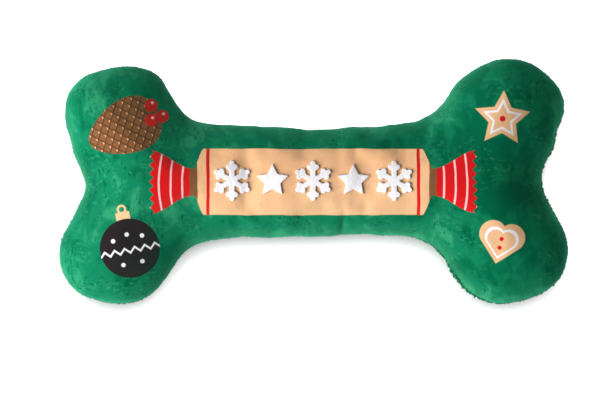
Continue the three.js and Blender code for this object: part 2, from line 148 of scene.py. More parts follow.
# How far each lobe reaches along and across the bone, its radius and the radius of its fillet to
# the shaft, as shares of the sizes above: toys stuffed by hand differ a little from end to end
LOBE_SHARES = {
    "upper_left": {"along": 0.98, "across": 0.932, "radius": 0.954, "fillet": 0.82},
    "lower_left": {"along": 1, "across": 0.989, "radius": 0.987, "fillet": 1.14},
    "upper_right": {"along": 0.987, "across": 1, "radius": 0.987, "fillet": 1.23},
    "lower_right": {"along": 1, "across": 1, "radius": 1.02, "fillet": 0.82},
}
NOTCH_SHARES = {"left": 0.89, "right": 1.11}
OUTLINE_SPACING = 0.0035
FILLING_OUT_SHARES = (0.25, 0.8)
LEAST_AWAY = 1e-7
# Long lists of places are measured in parts of about this many, to save memory
PART_SIZE = 4000


class Circle:
    """A circle that the outline follows; a lobe also knows its side of the bone and its fillet."""

    def __init__(self, centre, radius, side=(0, 0), fillet=0):
        self.centre, self.radius = np.array(centre, float), radius
        self.side_x, self.side_y = side
        self.fillet = fillet

    def angle_to(self, other):
        away = other.centre - self.centre
        return math.atan2(away[1], away[0])

    def arc(self, start, stop, hollow=False):
        """Points from one angle to another, the other way round where the outline is hollow."""
        turn = -1 if hollow else 1
        sweep = (stop - start) * turn % (2 * math.pi)
        count = max(2, round(sweep * self.radius / OUTLINE_SPACING))
        angles = start + turn * sweep * np.arange(count) / count
        return self.centre + self.radius * np.stack([np.cos(angles), np.sin(angles)], 1)


def lobe(sizes, name):
    """One of the four round lobes."""
    shares = LOBE_SHARES[name]
    side_x = -1 if name.endswith("left") else 1
    side_y = -1 if name.startswith("lower") else 1
    radius = sizes.lobe_radius * shares["radius"]
    x = side_x * (sizes.bone_length / 2 * shares["along"] - radius)
    y = side_y * (sizes.bone_width / 2 * shares["across"] - radius)
    return Circle((x, y), radius, (side_x, side_y), sizes.shaft_fillet * shares["fillet"])


def shaft_fillet(sizes, of):
    """The circle that rounds the corner between a lobe and the straight side of the shaft."""
    y = of.side_y * (sizes.shaft_width / 2 + of.fillet)
    reach = of.radius + of.fillet
    run = math.sqrt(reach**2 - (y - of.centre[1]) ** 2)
    return Circle((of.centre[0] - of.side_x * run, y), of.fillet)


def notch_fillet(upper, lower, radius):
    """The circle that rounds the notch between the two lobes of one end."""
    apart = lower.centre - upper.centre
    between = np.linalg.norm(apart)
    from_upper, from_lower = upper.radius + radius, lower.radius + radius
    along = (between**2 + from_upper**2 - from_lower**2) / (2 * between)
    aside = math.sqrt(from_upper**2 - along**2) * upper.side_x
    direction = apart / between
    across = np.array([-direction[1], direction[0]])
    return Circle(upper.centre + direction * along + across * aside, radius)


def long_side(sizes, first, last):
    """One long side: the fillet of the first lobe, the straight shaft and the fillet of the last."""
    near, far = shaft_fillet(sizes, first), shaft_fillet(sizes, last)
    flat = math.atan2(-first.side_y, 0)
    start = near.centre - (0, first.side_y * near.radius)
    stop = far.centre - (0, first.side_y * far.radius)
    count = round(np.linalg.norm(stop - start) / OUTLINE_SPACING)
    straight = start + (stop - start) * (np.arange(count) / count)[:, None]
    return [
        near.arc(near.angle_to(first), flat, hollow=True),
        straight,
        far.arc(flat, far.angle_to(last), hollow=True),
    ]


def end_side(sizes, first, last, notch):
    """One end: both lobes and the notch between them."""
    near, far = shaft_fillet(sizes, first), shaft_fillet(sizes, last)
    return [
        first.arc(first.angle_to(near), first.angle_to(notch)),
        notch.arc(notch.angle_to(first), notch.angle_to(last), hollow=True),
        last.arc(last.angle_to(notch), last.angle_to(far)),
    ]


def bone_outline(sizes):
    """The outline along the seam as points, anticlockwise."""
    upper_left, lower_left, upper_right, lower_right = (lobe(sizes, name) for name in LOBE_SHARES)
    left_notch = notch_fillet(upper_left, lower_left, sizes.notch_fillet * NOTCH_SHARES["left"])
    right_notch = notch_fillet(upper_right, lower_right, sizes.notch_fillet * NOTCH_SHARES["right"])
    return np.concatenate([
        *long_side(sizes, upper_right, upper_left),
        *end_side(sizes, upper_left, lower_left, left_notch),
        *long_side(sizes, lower_left, lower_right),
        *end_side(sizes, lower_right, upper_right, right_notch),
    ])


def reach_inside(points, outline):
    """A smooth measure of how far points lie inside the outline, zero on the seam."""
    following = np.roll(outline, -1, 0)
    lengths = np.linalg.norm(following - outline, axis=1)
    unit_x, unit_y = ((following - outline) / lengths[:, None]).T
    reach = []
    for part in np.array_split(points, max(1, len(points) // PART_SIZE)):
        from_x, from_y = outline[:, 0] - part[:, :1], outline[:, 1] - part[:, 1:2]
        to_x, to_y = following[:, 0] - part[:, :1], following[:, 1] - part[:, 1:2]
        away = np.maximum(np.abs(from_x * unit_y - from_y * unit_x), LEAST_AWAY)
        near_end = from_x * unit_x + from_y * unit_y
        far_end = to_x * unit_x + to_y * unit_y
        pull = far_end / np.hypot(far_end, away) - near_end / np.hypot(near_end, away)
        reach.append(np.sqrt(2 / (pull / away**2).sum(1)))
    return np.concatenate(reach)


def smoothstep(value, start, stop):
    """Rises smoothly from 0 at start to 1 at stop."""
    t = np.clip((value - start) / (stop - start), 0, 1)
    return t * t * (3 - 2 * t)


def puffed_heights(sizes, points, outline, crown):
    """How high a cover stands over the seam at points of the plan."""
    filled = smoothstep(np.abs(points[:, 0]) / (sizes.bone_length / 2), *FILLING_OUT_SHARES)
    fullness = 1 + (sizes.end_fullness - 1) * filled
    shaft_reach = sizes.shaft_width / 2 / math.sqrt(2)
    return crown * fullness * np.sqrt(reach_inside(points, outline) / shaft_reach)


# The seam's line

# Where the stuffing pushes the seam out or leaves it slack: a place on the seam as shares of half
# the bone's length and width, the direction in degrees, and the push and its spread in metres
PUSHES = (
    (-0.63, 0.85, 56, 0.0030, 0.010),
    (-0.83, 0.91, 112, -0.0017, 0.011),
    (-0.93, 0.76, 145, 0.0027, 0.014),
    (-0.975, 0.36, -168, -0.0037, 0.012),
    (-0.90, 0.08, -160, 0.0030, 0.009),
    (-0.97, -0.28, 150, -0.0064, 0.014),
    (-1.0, -0.46, 172, -0.0012, 0.009),
    (-0.935, -0.84, -138, 0.0032, 0.015),
    (-0.69, -0.965, -72, 0.0011, 0.012),
    (-0.53, -0.62, -40, 0.0015, 0.009),
    (-0.40, -0.45, -83, 0.0043, 0.014),
    (-0.19, -0.44, -90, 0.0030, 0.022),
    (-0.03, -0.44, -90, 0.0013, 0.010),
    (0.07, -0.44, -90, 0.0010, 0.012),
    (0.465, -0.50, -120, 0.0028, 0.016),
    (0.82, -0.98, -75, -0.0022, 0.014),
    (0.965, -0.755, -31, 0.0019, 0.012),
    (1.0, -0.45, 4, -0.0010, 0.008),
    (0.97, -0.27, 26, -0.0037, 0.012),
    (0.98, 0.39, -15, -0.0044, 0.010),
    (0.965, 0.72, 24, 0.0016, 0.010),
    (0.645, 0.94, 118, -0.0030, 0.014),
    (0.54, 0.72, 150, 0.0017, 0.008),
    (0.42, 0.48, 112, 0.0020, 0.018),
    (0.33, 0.44, 90, 0.0021, 0.009),
    (0.0, 0.44, 90, -0.0013, 0.013),
    (-0.28, 0.44, 90, 0.0017, 0.020),
    (-0.43, 0.46, 80, 0.0027, 0.016),
    (-0.53, 0.60, 32, 0.0015, 0.008),
)


def push_seam(sizes, places):
    """Moves places in plan as the stuffing pushes the seam out or leaves it slack."""
    half = np.array([sizes.bone_length / 2, sizes.bone_width / 2])
    moved = places.copy()
    for x, y, angle, push, spread in PUSHES:
        away = places[:, :2] - half * (x, y)
        near = np.exp(-(away**2).sum(1) / (2 * spread**2))
        direction = np.array([math.cos(math.radians(angle)), math.sin(math.radians(angle))])
        moved[:, :2] += push * near[:, None] * direction
    return moved


class Seam:
    """The seam's line as the stuffing has pushed it: its points, the way out and the run at each."""

    def __init__(self, sizes):
        outline = bone_outline(sizes)
        self.points = push_seam(sizes, np.column_stack([outline, np.zeros(len(outline))]))[:, :2]
        following = np.roll(self.points, -1, 0)
        along = following - np.roll(self.points, 1, 0)
        outward = np.stack([along[:, 1], -along[:, 0]], 1)
        self.outward = outward / np.linalg.norm(outward, axis=1)[:, None]
        steps = np.linalg.norm(following - self.points, axis=1)
        self.run = np.concatenate([[0], np.cumsum(steps)])
        self.whole = self.run[-1]

    def at(self, along, inset=0):
        """The place in plan so far along the seam, or a little inside it."""
        line = self.points - self.outward * inset
        closed = np.vstack([line, line[:1]])
        return np.interp(along, self.run, closed[:, 0]), np.interp(along, self.run, closed[:, 1])

    def nearest(self, places):
        """For each place, the index of the nearest point of the seam."""
        found = []
        for part in np.array_split(places[:, :2], max(1, len(places) // PART_SIZE)):
            found.append(((part[:, None] - self.points[None]) ** 2).sum(2).argmin(1))
        return np.concatenate(found)


# Mesh helpers

# Points nearer together than this are one
WELD = 1e-6
# How far each step of the seed moves the noise, in lumps
SEED_SHIFTS = (7.1, 3.3, 5.7)


def set_values(item, **values):
    """Sets several values of one item."""
    for name, value in values.items():
        setattr(item, name, value)
    return item


def only(kind, items):
    """The vertices or the edges among the items of a bmesh."""
    return [item for item in items if isinstance(item, kind)]


def around(vert):
    """The angle of a vertex round the upright axis, to sort a ring by."""
    return math.atan2(vert.co.y, vert.co.x)


def coordinates(mesh):
    """The places of a mesh's vertices as an array."""
    values = np.zeros(len(mesh.vertices) * 3)
    mesh.vertices.foreach_get("co", values)
    return values.reshape(-1, 3)


def directions(mesh):
    """The outward directions of a mesh's vertices as an array."""
    values = np.zeros(len(mesh.vertices) * 3)
    mesh.vertex_normals.foreach_get("vector", values)
    return values.reshape(-1, 3)


def move_to(mesh, places):
    """Puts a mesh's vertices at new places."""
    mesh.vertices.foreach_set("co", places.astype(np.float32).ravel())
    mesh.update()


def add_object(name, data):
    """A new object in the scene."""
    made = bpy.data.objects.new(name, data)
    bpy.context.scene.collection.objects.link(made)
    return made


def piece_from(bm, name, smooth=True):
    """A new object in the scene from a bmesh."""
    mesh = bpy.data.meshes.new(name)
    bm.to_mesh(mesh)
    bm.free()
    if smooth:
        mesh.shade_smooth()
    return add_object(name, mesh)


def shown_mesh(piece):
    """A piece's mesh as its modifiers, or a curve's thickness, show it."""
    bpy.context.view_layer.update()
    return bpy.data.meshes.new_from_object(piece.evaluated_get(bpy.context.evaluated_depsgraph_get()))


def modified(piece, kind, **values):
    """Applies one modifier to a piece's mesh."""
    set_values(piece.modifiers.new(kind.title(), kind), **values)
    mesh = shown_mesh(piece)
    piece.modifiers.clear()
    piece.data = mesh
    return piece


def remeshed(piece, voxel):
    """Replaces a piece's mesh with an even one."""
    return modified(piece, "REMESH", mode="VOXEL", voxel_size=voxel, use_smooth_shade=True)


def smoothed(piece, times):
    """Evens out a piece's surface so many times over."""
    return modified(piece, "SMOOTH", factor=0.5, iterations=times)


def noise_values(places, size, seed):
    """Smooth noise from -1 to 1 whose lumps are about one size across."""
    shift = Vector([seed * step for step in SEED_SHIFTS])
    return np.array([noise.noise(Vector(place) / size + shift) for place in places])


def surface_of(name):
    """A piece's outer faces, to find places on."""
    mesh = bpy.data.objects[name].data
    return BVHTree.FromPolygons([v.co for v in mesh.vertices], [p.vertices for p in mesh.polygons])


# The covers

RING_LEVELS = 16
SPINE_SHARE = 0.66
RING_MERGE = 0.0002
SIMULATED_FRAMES = 20
STUFFING_PRESSURE = 3.0
CLOTH_MASS = 0.2
CLOTH_QUALITY = 6
CLOTH_STRETCH = -0.03
LEAST_MOVE = 1e-9
FOLD_SMOOTHING = 8

# Soft folds across the shaft: place along half the length, depth and width in metres, and how far
# the fold leans
FOLDS = (
    (-0.40, 0.0004, 0.007, 0.10),
    (-0.27, 0.0005, 0.006, 0.05),
    (-0.17, 0.0003, 0.005, -0.10),
    (-0.045, 0.0006, 0.007, 0.02),
    (0.105, 0.0008, 0.006, -0.06),
    (0.225, 0.0004, 0.006, 0.10),
    (0.36, 0.0005, 0.008, -0.08),
    (0.50, 0.0004, 0.007, 0.12),
)
# The folds end where the shaft widens, between these shares of half the length
FOLD_END_SHARES = (0.5, 0.62)
# One crease in the front, how far it leans, and how far over the seam it is as deep as this
CREASE = SimpleNamespace(
    x=0.0265, y=-0.040, length=0.009, width=0.0022, depth=0.0022, lean=0.12, above=0.01,
)
# Lumps of the stuffing: size, height and seed
LUMPS = ((0.040, 0.0010, 3), (0.016, 0.00035, 5), (0.007, 0.00012, 8))
# Folds and lumps fade out towards the floor, between these heights
FLAT_UNDERSIDE = (0.0005, 0.012)

# The seam's puckers, as waves along it: the metres in which a wave turns by one radian, how far and
# how slowly it wavers, its shift from front to back, its height and how far from the seam it fades
PUCKERS = (
    SimpleNamespace(turn=0.0021, sway=2.2, slow_turn=0.013, shift=3, height=0.00030, fade=0.005),
    SimpleNamespace(turn=0.0062, sway=1.7, slow_turn=0.031, shift=2, height=0.00055, fade=0.009),
)
PUCKER_REACH = 0.024
PUCKER_STRENGTH = SimpleNamespace(mean=0.6, swing=0.4, turn=0.047)

GROOVE_REACH = 2.5
# Extra rows of points by the seam, as shares of the groove's width, and last the seam's own cut
GROOVE_CUT_SHARES = (0.6, 0.3, 0)


def puffed_body(sizes, outline):
    """The whole stuffed shape: rings extruded from the seam over the front and under the back."""
    bm = bmesh.new()
    station = bm.verts.layers.int.new("station")
    rim = bmesh.ops.create_circle(bm, segments=len(outline), radius=1)["verts"]
    for i, vert in enumerate(sorted(rim, key=around)):
        vert[station] = i
        vert.co = (*outline[i], sizes.seam_height)
    rim_edges = bm.edges[:]
    spine_end = sizes.bone_length / 2 * SPINE_SHARE
    spine = np.stack([np.clip(outline[:, 0], -spine_end, spine_end), np.zeros(len(outline))], 1)
    for up, crown in ((1, sizes.front_crown), (-1, sizes.back_crown)):
        edges = rim_edges
        for level in range(1, RING_LEVELS + 1):
            drawn_in = 1 - math.cos(level / RING_LEVELS * math.pi / 2)
            plan = outline + (spine - outline) * drawn_in
            heights = puffed_heights(sizes, plan, outline, crown)
            made = bmesh.ops.extrude_edge_only(bm, edges=edges)["geom"]
            edges = only(BMEdge, made)
            for vert in only(BMVert, made):
                i = vert[station]
                vert.co = (*plan[i], max(0, sizes.seam_height + up * heights[i]))
    bmesh.ops.remove_doubles(bm, verts=bm.verts, dist=RING_MERGE)
    bmesh.ops.recalc_face_normals(bm, faces=bm.faces)
    return piece_from(bm, "stuffed_body")


def swell(sizes, body):
    """Lets the stuffing press the cloth out between its seam and the floor, by cloth simulation."""
    rest = coordinates(body.data)
    by_seam = np.abs(rest[:, 2] - sizes.seam_height) < sizes.cloth_spacing
    on_floor = rest[:, 2] < sizes.cloth_spacing / 2
    held = body.vertex_groups.new(name="held")
    held.add(np.nonzero(by_seam | on_floor)[0].tolist(), 1.0, "REPLACE")
    cloth = body.modifiers.new("Stuffing", "CLOTH")
    set_values(
        cloth.settings, quality=CLOTH_QUALITY, mass=CLOTH_MASS, use_pressure=True,
        uniform_pressure_force=STUFFING_PRESSURE, shrink_min=CLOTH_STRETCH, vertex_group_mass=held.name,
    )
    cloth.settings.effector_weights.gravity = 0
    set_values(cloth.point_cache, frame_start=1, frame_end=SIMULATED_FRAMES)
    for step in range(1, SIMULATED_FRAMES + 1):
        bpy.context.scene.frame_set(step)
    shown = body.evaluated_get(bpy.context.evaluated_depsgraph_get())
    moved = coordinates(shown.data) - rest
    body.modifiers.clear()
    body.vertex_groups.clear()
    bpy.context.scene.frame_set(1)
    move_to(body.data, held_back(sizes, rest, moved, directions(body.data)))
    smoothed(body, FOLD_SMOOTHING)


def held_back(sizes, rest, moved, outward):
    """Where the simulated cloth ends up, once its swelling and sinking are held to their caps."""
    rise = (moved * outward).sum(1)
    aside = moved - outward * rise[:, None]
    limited = aside + outward * np.maximum(rise, -sizes.sinking_cap)[:, None]
    travel = np.linalg.norm(limited, axis=1)
    kept = np.minimum(1, sizes.swelling_cap / np.maximum(travel, LEAST_MOVE))
    return over_floor(rest + limited * kept[:, None])


def over_floor(places):
    """Lifts whatever has sunk below the floor."""
    places[:, 2] = np.maximum(places[:, 2], 0)
    return places


def fold_depths(sizes, places):
    """How far the shaft's folds, its crease and the lumps of the stuffing move the cloth."""
    x, y, z = places.T
    on_shaft = 1 - smoothstep(np.abs(x) / (sizes.bone_length / 2), *FOLD_END_SHARES)
    depth = np.zeros(len(places))
    for along, fold, width, lean in FOLDS:
        across = (x - along * sizes.bone_length / 2 - lean * y) / width
        depth -= fold * np.exp(-(across**2)) * on_shaft
    along = (y - CREASE.y) / CREASE.length
    across = (x - CREASE.x - CREASE.lean * (y - CREASE.y)) / CREASE.width
    over = smoothstep(z, sizes.seam_height, sizes.seam_height + CREASE.above)
    depth -= CREASE.depth * np.exp(-(across**2) - along**2) * over
    for size, amount, seed in LUMPS:
        depth += amount * noise_values(places, size, seed)
    return depth * smoothstep(z, *FLAT_UNDERSIDE)


def pucker_depths(sizes, seam, places):
    """How far the seam's puckers move the cloth, fading away from the seam."""
    rise = places[:, 2] - sizes.seam_height
    near = np.nonzero(np.abs(rise) < PUCKER_REACH)[0]
    run = seam.run[seam.nearest(places[near])]
    side, away = np.sign(rise[near]), np.abs(rise[near])
    depth = np.zeros(len(near))
    for pucker in PUCKERS:
        waver = pucker.sway * np.sin(run / pucker.slow_turn)
        wave = np.sin(run / pucker.turn + waver + pucker.shift * side)
        depth += pucker.height * wave * np.exp(-away / pucker.fade)
    strength = PUCKER_STRENGTH.mean + PUCKER_STRENGTH.swing * np.sin(run / PUCKER_STRENGTH.turn)
    amount = np.zeros(len(places))
    amount[near] = strength * depth
    return amount


def draw_in_seam(sizes, seam, places):
    """Pulls the cloth in along the seam."""
    away = (places[:, 2] - sizes.seam_height) / (sizes.groove_width / 2)
    near = np.nonzero(np.abs(away) < GROOVE_REACH)[0]
    pull = sizes.groove_depth * np.exp(-(away[near] ** 2))
    moved = places.copy()
    moved[near, :2] -= seam.outward[seam.nearest(places[near])] * pull[:, None]
    return moved


def half_cover(sizes, body, seam, up, name):
    """Cuts one cover off the stuffed body at the seam and turns its seam allowance in."""
    bm = bmesh.new()
    bm.from_mesh(body.data)
    cut = Vector((0, 0, sizes.seam_height + up * sizes.seam_gap / 2))
    for step in GROOVE_CUT_SHARES:
        level = cut + Vector((0, 0, up * step * sizes.groove_width))
        geometry = bm.verts[:] + bm.edges[:] + bm.faces[:]
        bmesh.ops.bisect_plane(
            bm, geom=geometry, dist=WELD, plane_co=level, plane_no=(0, 0, -up), clear_outer=step == 0,
        )
    places = np.array([vert.co for vert in bm.verts])
    for vert, place in zip(bm.verts, draw_in_seam(sizes, seam, places)):
        vert.co = place
    edge = [e for e in bm.edges if e.is_boundary]
    turned = only(BMVert, bmesh.ops.extrude_edge_only(bm, edges=edge)["geom"])
    nearest = seam.nearest(np.array([vert.co for vert in turned]))
    for vert, (out_x, out_y) in zip(turned, seam.outward[nearest]):
        vert.co -= Vector((out_x, out_y, 0)) * sizes.seam_allowance
    cover = piece_from(bm, name)
    set_values(cover.modifiers.new("Cloth", "SOLIDIFY"), thickness=sizes.cloth_thickness, offset=-1)
    return cover


def make_covers(sizes):
    """Both covers, from one stuffed body."""
    seam = Seam(sizes)
    body = remeshed(puffed_body(sizes, bone_outline(sizes)), sizes.cloth_spacing)
    swell(sizes, body)
    modified(body, "SUBSURF", levels=1, render_levels=1)
    places = push_seam(sizes, coordinates(body.data))
    move_to(body.data, places)
    depth = fold_depths(sizes, places) + pucker_depths(sizes, seam, places)
    move_to(body.data, over_floor(places + directions(body.data) * depth[:, None]))
    front = half_cover(sizes, body, seam, 1, "front_cover")
    back = half_cover(sizes, body, seam, -1, "back_cover")
    bpy.data.objects.remove(body)
    return front, back


# The pile that stands out along the seam

TUFT_PITCH = 0.0014
# Tufts stand in clumps: the size of a clump, their mean length and how far it swings
CLUMP_SIZE, CLUMP_MEAN, CLUMP_SWING = 0.0026, 0.7, 0.9
# What chance does to a tuft: its shift as a share of the pitch, its length, and its lean each way
TUFT_SEED = 4
TUFT_SHIFT_SHARE = 0.35
TUFT_LENGTH_SHARES = (0.7, 1.2)
TUFT_LEANS = (0.24, 0.24, 0.15)
# A tuft points partly off the cloth and partly out of the bone
OFF_CLOTH, OUT_OF_BONE = 0.5, 0.8
# Rows of tufts: how far from the seam, and how long beside those of the first row
TUFT_ROWS = ((0.0006, 1), (0.0022, 0.85), (0.0044, 0.6), (0.0072, 0.4))
ROW_SPREAD = 0.0012
TUFT_SIDES = 5
TUFT_ROOT = 0.0006
TUFT_FOOT = 0.0003
TUFT_FOOT_SHARE, TUFT_TIP_SHARE = 0.5, 0.22
SHORTEST_TUFT = 0.0003
# How far the pile stands out round the bone: places on the seam as shares of half its length and
# width, and how strongly the tufts stand there
TUFTINESS = (
    (-0.95, 0.55, 0.60), (-0.75, 0.95, 0.55), (-0.50, 0.50, 0.30), (0, 0.45, 0.20), (0.45, 0.50, 0.30),
    (0.75, 1.00, 0.45), (0.97, 0.60, 0.80), (0.90, 0.05, 0.95), (0.99, -0.50, 0.90), (0.80, -1.00, 1.15),
    (0.58, -0.80, 1.70), (0.47, -0.55, 1.20), (0.30, -0.45, 0.40), (-0.20, -0.45, 0.35),
    (-0.55, -0.70, 0.40), (-0.78, -0.98, 0.80), (-0.98, -0.50, 0.80), (-0.90, 0.00, 0.45),
)
TUFTINESS_BLUR = 1e-4


def tuftiness(sizes, x, y):
    """How strongly the pile stands out at a place on the seam."""
    half_long, half_wide = sizes.bone_length / 2, sizes.bone_width / 2
    total = weight = 0
    for along, across, strength in TUFTINESS:
        away = (x - along * half_long) ** 2 + (y - across * half_wide) ** 2
        near = 1 / (away + TUFTINESS_BLUR) ** 2
        total += near * strength
        weight += near
    return total / weight


def add_tuft(bm, root, direction, long):
    """One small blunt tuft of pile that stands on the cloth and has its foot in it."""
    turned = direction.to_track_quat("Z", "Y").to_matrix().to_4x4()
    middle = Matrix.Translation(root + direction * (long - TUFT_ROOT) / 2)
    bmesh.ops.create_cone(
        bm, cap_ends=True, segments=TUFT_SIDES, depth=long + TUFT_ROOT,
        radius1=long * TUFT_FOOT_SHARE + TUFT_FOOT, radius2=long * TUFT_TIP_SHARE, matrix=middle @ turned,
    )


def make_pile(sizes):
    """Rows of small tufts of pile along the seam and a little way up the flanks."""
    chance = random.Random(TUFT_SEED)
    seam = Seam(sizes)
    covers = {1: surface_of("front_cover"), -1: surface_of("back_cover")}
    bm = bmesh.new()
    for along in np.arange(0, seam.whole, TUFT_PITCH):
        for up in covers:
            for rise, row_share in TUFT_ROWS:
                at = along + chance.uniform(-TUFT_SHIFT_SHARE, TUFT_SHIFT_SHARE) * TUFT_PITCH
                x, y = seam.at(at)
                strength = tuftiness(sizes, x, y) * row_share
                clump = CLUMP_MEAN + CLUMP_SWING * noise.noise(Vector((at / CLUMP_SIZE, up, 0)))
                long = sizes.tuft_length * strength * clump * chance.uniform(*TUFT_LENGTH_SHARES)
                if long < SHORTEST_TUFT:
                    continue
                start = Vector((x, y, sizes.seam_height + up * (rise + chance.uniform(0, ROW_SPREAD))))
                found, normal, _, _ = covers[up].find_nearest(start)
                station = int(np.searchsorted(seam.run, at)) % len(seam.points)
                away = Vector((*seam.outward[station], 0))
                lean = Vector([chance.gauss(0, spread) for spread in TUFT_LEANS])
                direction = (normal * OFF_CLOTH + away * OUT_OF_BONE + lean).normalized()
                add_tuft(bm, found, direction, long)
    return piece_from(bm, "seam_pile")


# Felt motifs

FELT_VOXEL = 0.00045
FELT_GAP = 0.0002
FELT_SMOOTHING = 7
# Lumps of the felt's face: size, height and seed
FELT_LUMPS = (0.0022, 0.00012, 9)
ARM_END_SIDES = 20
SNOWFLAKE = SimpleNamespace(width=0.036, arm=0.0046, fork=0.58, twig=0.0060, arms=6)
STAR = SimpleNamespace(width=0.030, waist=0.50, points=5)
MOTIFS = ("snowflake_left", "star_left", "snowflake_middle", "star_right", "snowflake_right")
ABOVE_ALL = 0.2


def place_along(start, angle, reach):
    """The place so far from a start in the plan."""
    return start[0] + math.cos(angle) * reach, start[1] + math.sin(angle) * reach, 0


def felt_bar(bm, sizes, start, angle, long):
    """A bar of felt with a round end, from a point in the plan."""
    wide, thick = SNOWFLAKE.arm, sizes.felt_thickness
    reach = long - wide / 2
    middle = Matrix.Translation(place_along(start, angle, reach / 2)) @ Matrix.Rotation(angle, 4, "Z")
    bmesh.ops.create_cube(bm, matrix=middle @ Matrix.Diagonal((reach, wide, thick, 1)))
    bmesh.ops.create_cone(
        bm, cap_ends=True, segments=ARM_END_SIDES, radius1=wide / 2, radius2=wide / 2, depth=thick,
        matrix=Matrix.Translation(place_along(start, angle, reach)),
    )


def snowflake(sizes):
    """Six arms, each with a pair of twigs."""
    bm = bmesh.new()
    arm = SNOWFLAKE.width / 2
    sixth = 2 * math.pi / SNOWFLAKE.arms
    for i in range(SNOWFLAKE.arms):
        angle = (i + 0.5) * sixth
        felt_bar(bm, sizes, (0, 0), angle, arm)
        fork = place_along((0, 0), angle, arm * SNOWFLAKE.fork)
        for side in (-1, 1):
            felt_bar(bm, sizes, fork, angle + side * sixth, SNOWFLAKE.twig)
    return bm


def star(sizes):
    """A five-pointed star."""
    bm = bmesh.new()
    made = bmesh.ops.create_circle(
        bm, cap_ends=True, segments=2 * STAR.points, radius=STAR.width / 2,
    )
    for i, vert in enumerate(sorted(made["verts"], key=around)):
        angle = math.pi / 2 + i * math.pi / STAR.points
        reach = STAR.width / 2 * (STAR.waist if i % 2 else 1)
        vert.co = (reach * math.cos(angle), reach * math.sin(angle), -sizes.felt_thickness / 2)
    raised = only(BMVert, bmesh.ops.extrude_face_region(bm, geom=bm.faces[:])["geom"])
    bmesh.ops.translate(bm, verts=raised, vec=(0, 0, sizes.felt_thickness))
    bmesh.ops.recalc_face_normals(bm, faces=bm.faces)
    return bm


def lay_on_cover(piece, x, y, covered):
    """Softens a flat felt shape and lays it on the front cover."""
    smoothed(remeshed(piece, FELT_VOXEL), FELT_SMOOTHING)
    places = coordinates(piece.data)
    lowest = places[:, 2].min()
    for place in places:
        place[:2] += (x, y)
        hit, _, _, _ = covered.ray_cast(Vector((place[0], place[1], ABOVE_ALL)), Vector((0, 0, -1)))
        place[2] += hit.z - lowest + FELT_GAP
    size, height, seed = FELT_LUMPS
    places[:, 2] += height * noise_values(places, size, seed)
    move_to(piece.data, places)


def make_motif(sizes, node, covered):
    """One white felt snowflake or star, laid where its solid lies along the shaft."""
    low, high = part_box(node)
    shape = star(sizes) if node.startswith("star") else snowflake(sizes)
    piece = piece_from(shape, "felt_" + node)
    lay_on_cover(piece, (low.x + high.x) / 2, 0, covered)
    return piece


# Threads

NEEDLE_SIDE, BOBBIN_SIDE = 1, -1
THREAD_INSET = 0.0034
STITCH_STEPS = 4
# The thread's height over the cloth and its dip at each stitch, as shares of its diameter
THREAD_RISE_SHARE, THREAD_DIP_SHARE = 0.7, 0.5

# The stretch of seam that was closed by hand, and the shape of one ladder stitch over it
CLOSING = SimpleNamespace(left=0.098, right=0.140, below=-0.045, stitches=17)
LADDER = SimpleNamespace(
    steps=6, reach_share=0.62, slant_share=0.3, bow=0.0009, sunk_share=0.75, thread_share=1.2,
)


def thread_piece(name, runs, diameter, closed):
    """A mesh tube along one or more runs of points."""
    curve = bpy.data.curves.new(name, "CURVE")
    set_values(
        curve, dimensions="3D", bevel_depth=diameter / 2, bevel_resolution=1, use_fill_caps=True,
    )
    for points in runs:
        line = curve.splines.new("POLY")
        line.points.add(len(points) - 1)
        line.use_cyclic_u = closed
        for spot_on_line, point in zip(line.points, points):
            spot_on_line.co = (*point, 1)
    made = add_object(name, curve)
    mesh = shown_mesh(made)
    bpy.data.objects.remove(made)
    mesh.shade_smooth()
    return add_object(name, mesh)


def seam_thread(sizes, name, up):
    """The machine-sewn thread on one seam allowance, dipping into the cloth at every stitch."""
    seam = Seam(sizes)
    count = round(seam.whole / sizes.stitch_length) * STITCH_STEPS
    x, y = seam.at(np.linspace(0, seam.whole, count, endpoint=False), THREAD_INSET)
    above = sizes.seam_gap / 2 + sizes.cloth_thickness + sizes.thread_diameter * THREAD_RISE_SHARE
    at_stitch = np.arange(count) % STITCH_STEPS == 0
    dip = np.where(at_stitch, sizes.thread_diameter * THREAD_DIP_SHARE, 0)
    z = sizes.seam_height + up * (above - dip)
    return thread_piece(name, [np.column_stack([x, y, z])], sizes.thread_diameter, True)


def ladder_stitch(sizes, place, outward):
    """One stitch that bows over the seam, a little slanted along it."""
    along = np.array([-outward[1], outward[0]])
    run = []
    for step in range(LADDER.steps + 1):
        angle = math.pi * step / LADDER.steps
        rise = -math.cos(angle) * sizes.groove_width * LADDER.reach_share
        out = (math.sin(angle) - LADDER.sunk_share) * LADDER.bow
        x, y = place + outward * out + along * rise * LADDER.slant_share
        run.append((x, y, sizes.seam_height + rise))
    return run


def closing_stitches(sizes):
    """Ladder stitches over the seam where the toy was closed by hand."""
    seam = Seam(sizes)
    x, y = seam.points.T
    stretch = np.nonzero((x > CLOSING.left) & (x < CLOSING.right) & (y < CLOSING.below))[0]
    stations = stretch[np.linspace(0, len(stretch) - 1, CLOSING.stitches).astype(int)]
    runs = [ladder_stitch(sizes, seam.points[i], seam.outward[i]) for i in stations]
    return thread_piece("closing_stitches", runs, sizes.thread_diameter * LADDER.thread_share, False)


# Stuffing

WADS = (
    "fill_shaft", "fill_upper_left_lobe", "fill_lower_left_lobe", "fill_upper_right_lobe",
    "fill_lower_right_lobe",
)
WAD_VOXEL = 0.004
WAD_WELD = 1e-5
WAD_CLEARANCE = 0.0006
WAD_FLUFF, WAD_FLUFF_SIZE, WAD_FLUFF_SEED = 0.0005, 0.006, 2
COVER_NEARBY = 0.03


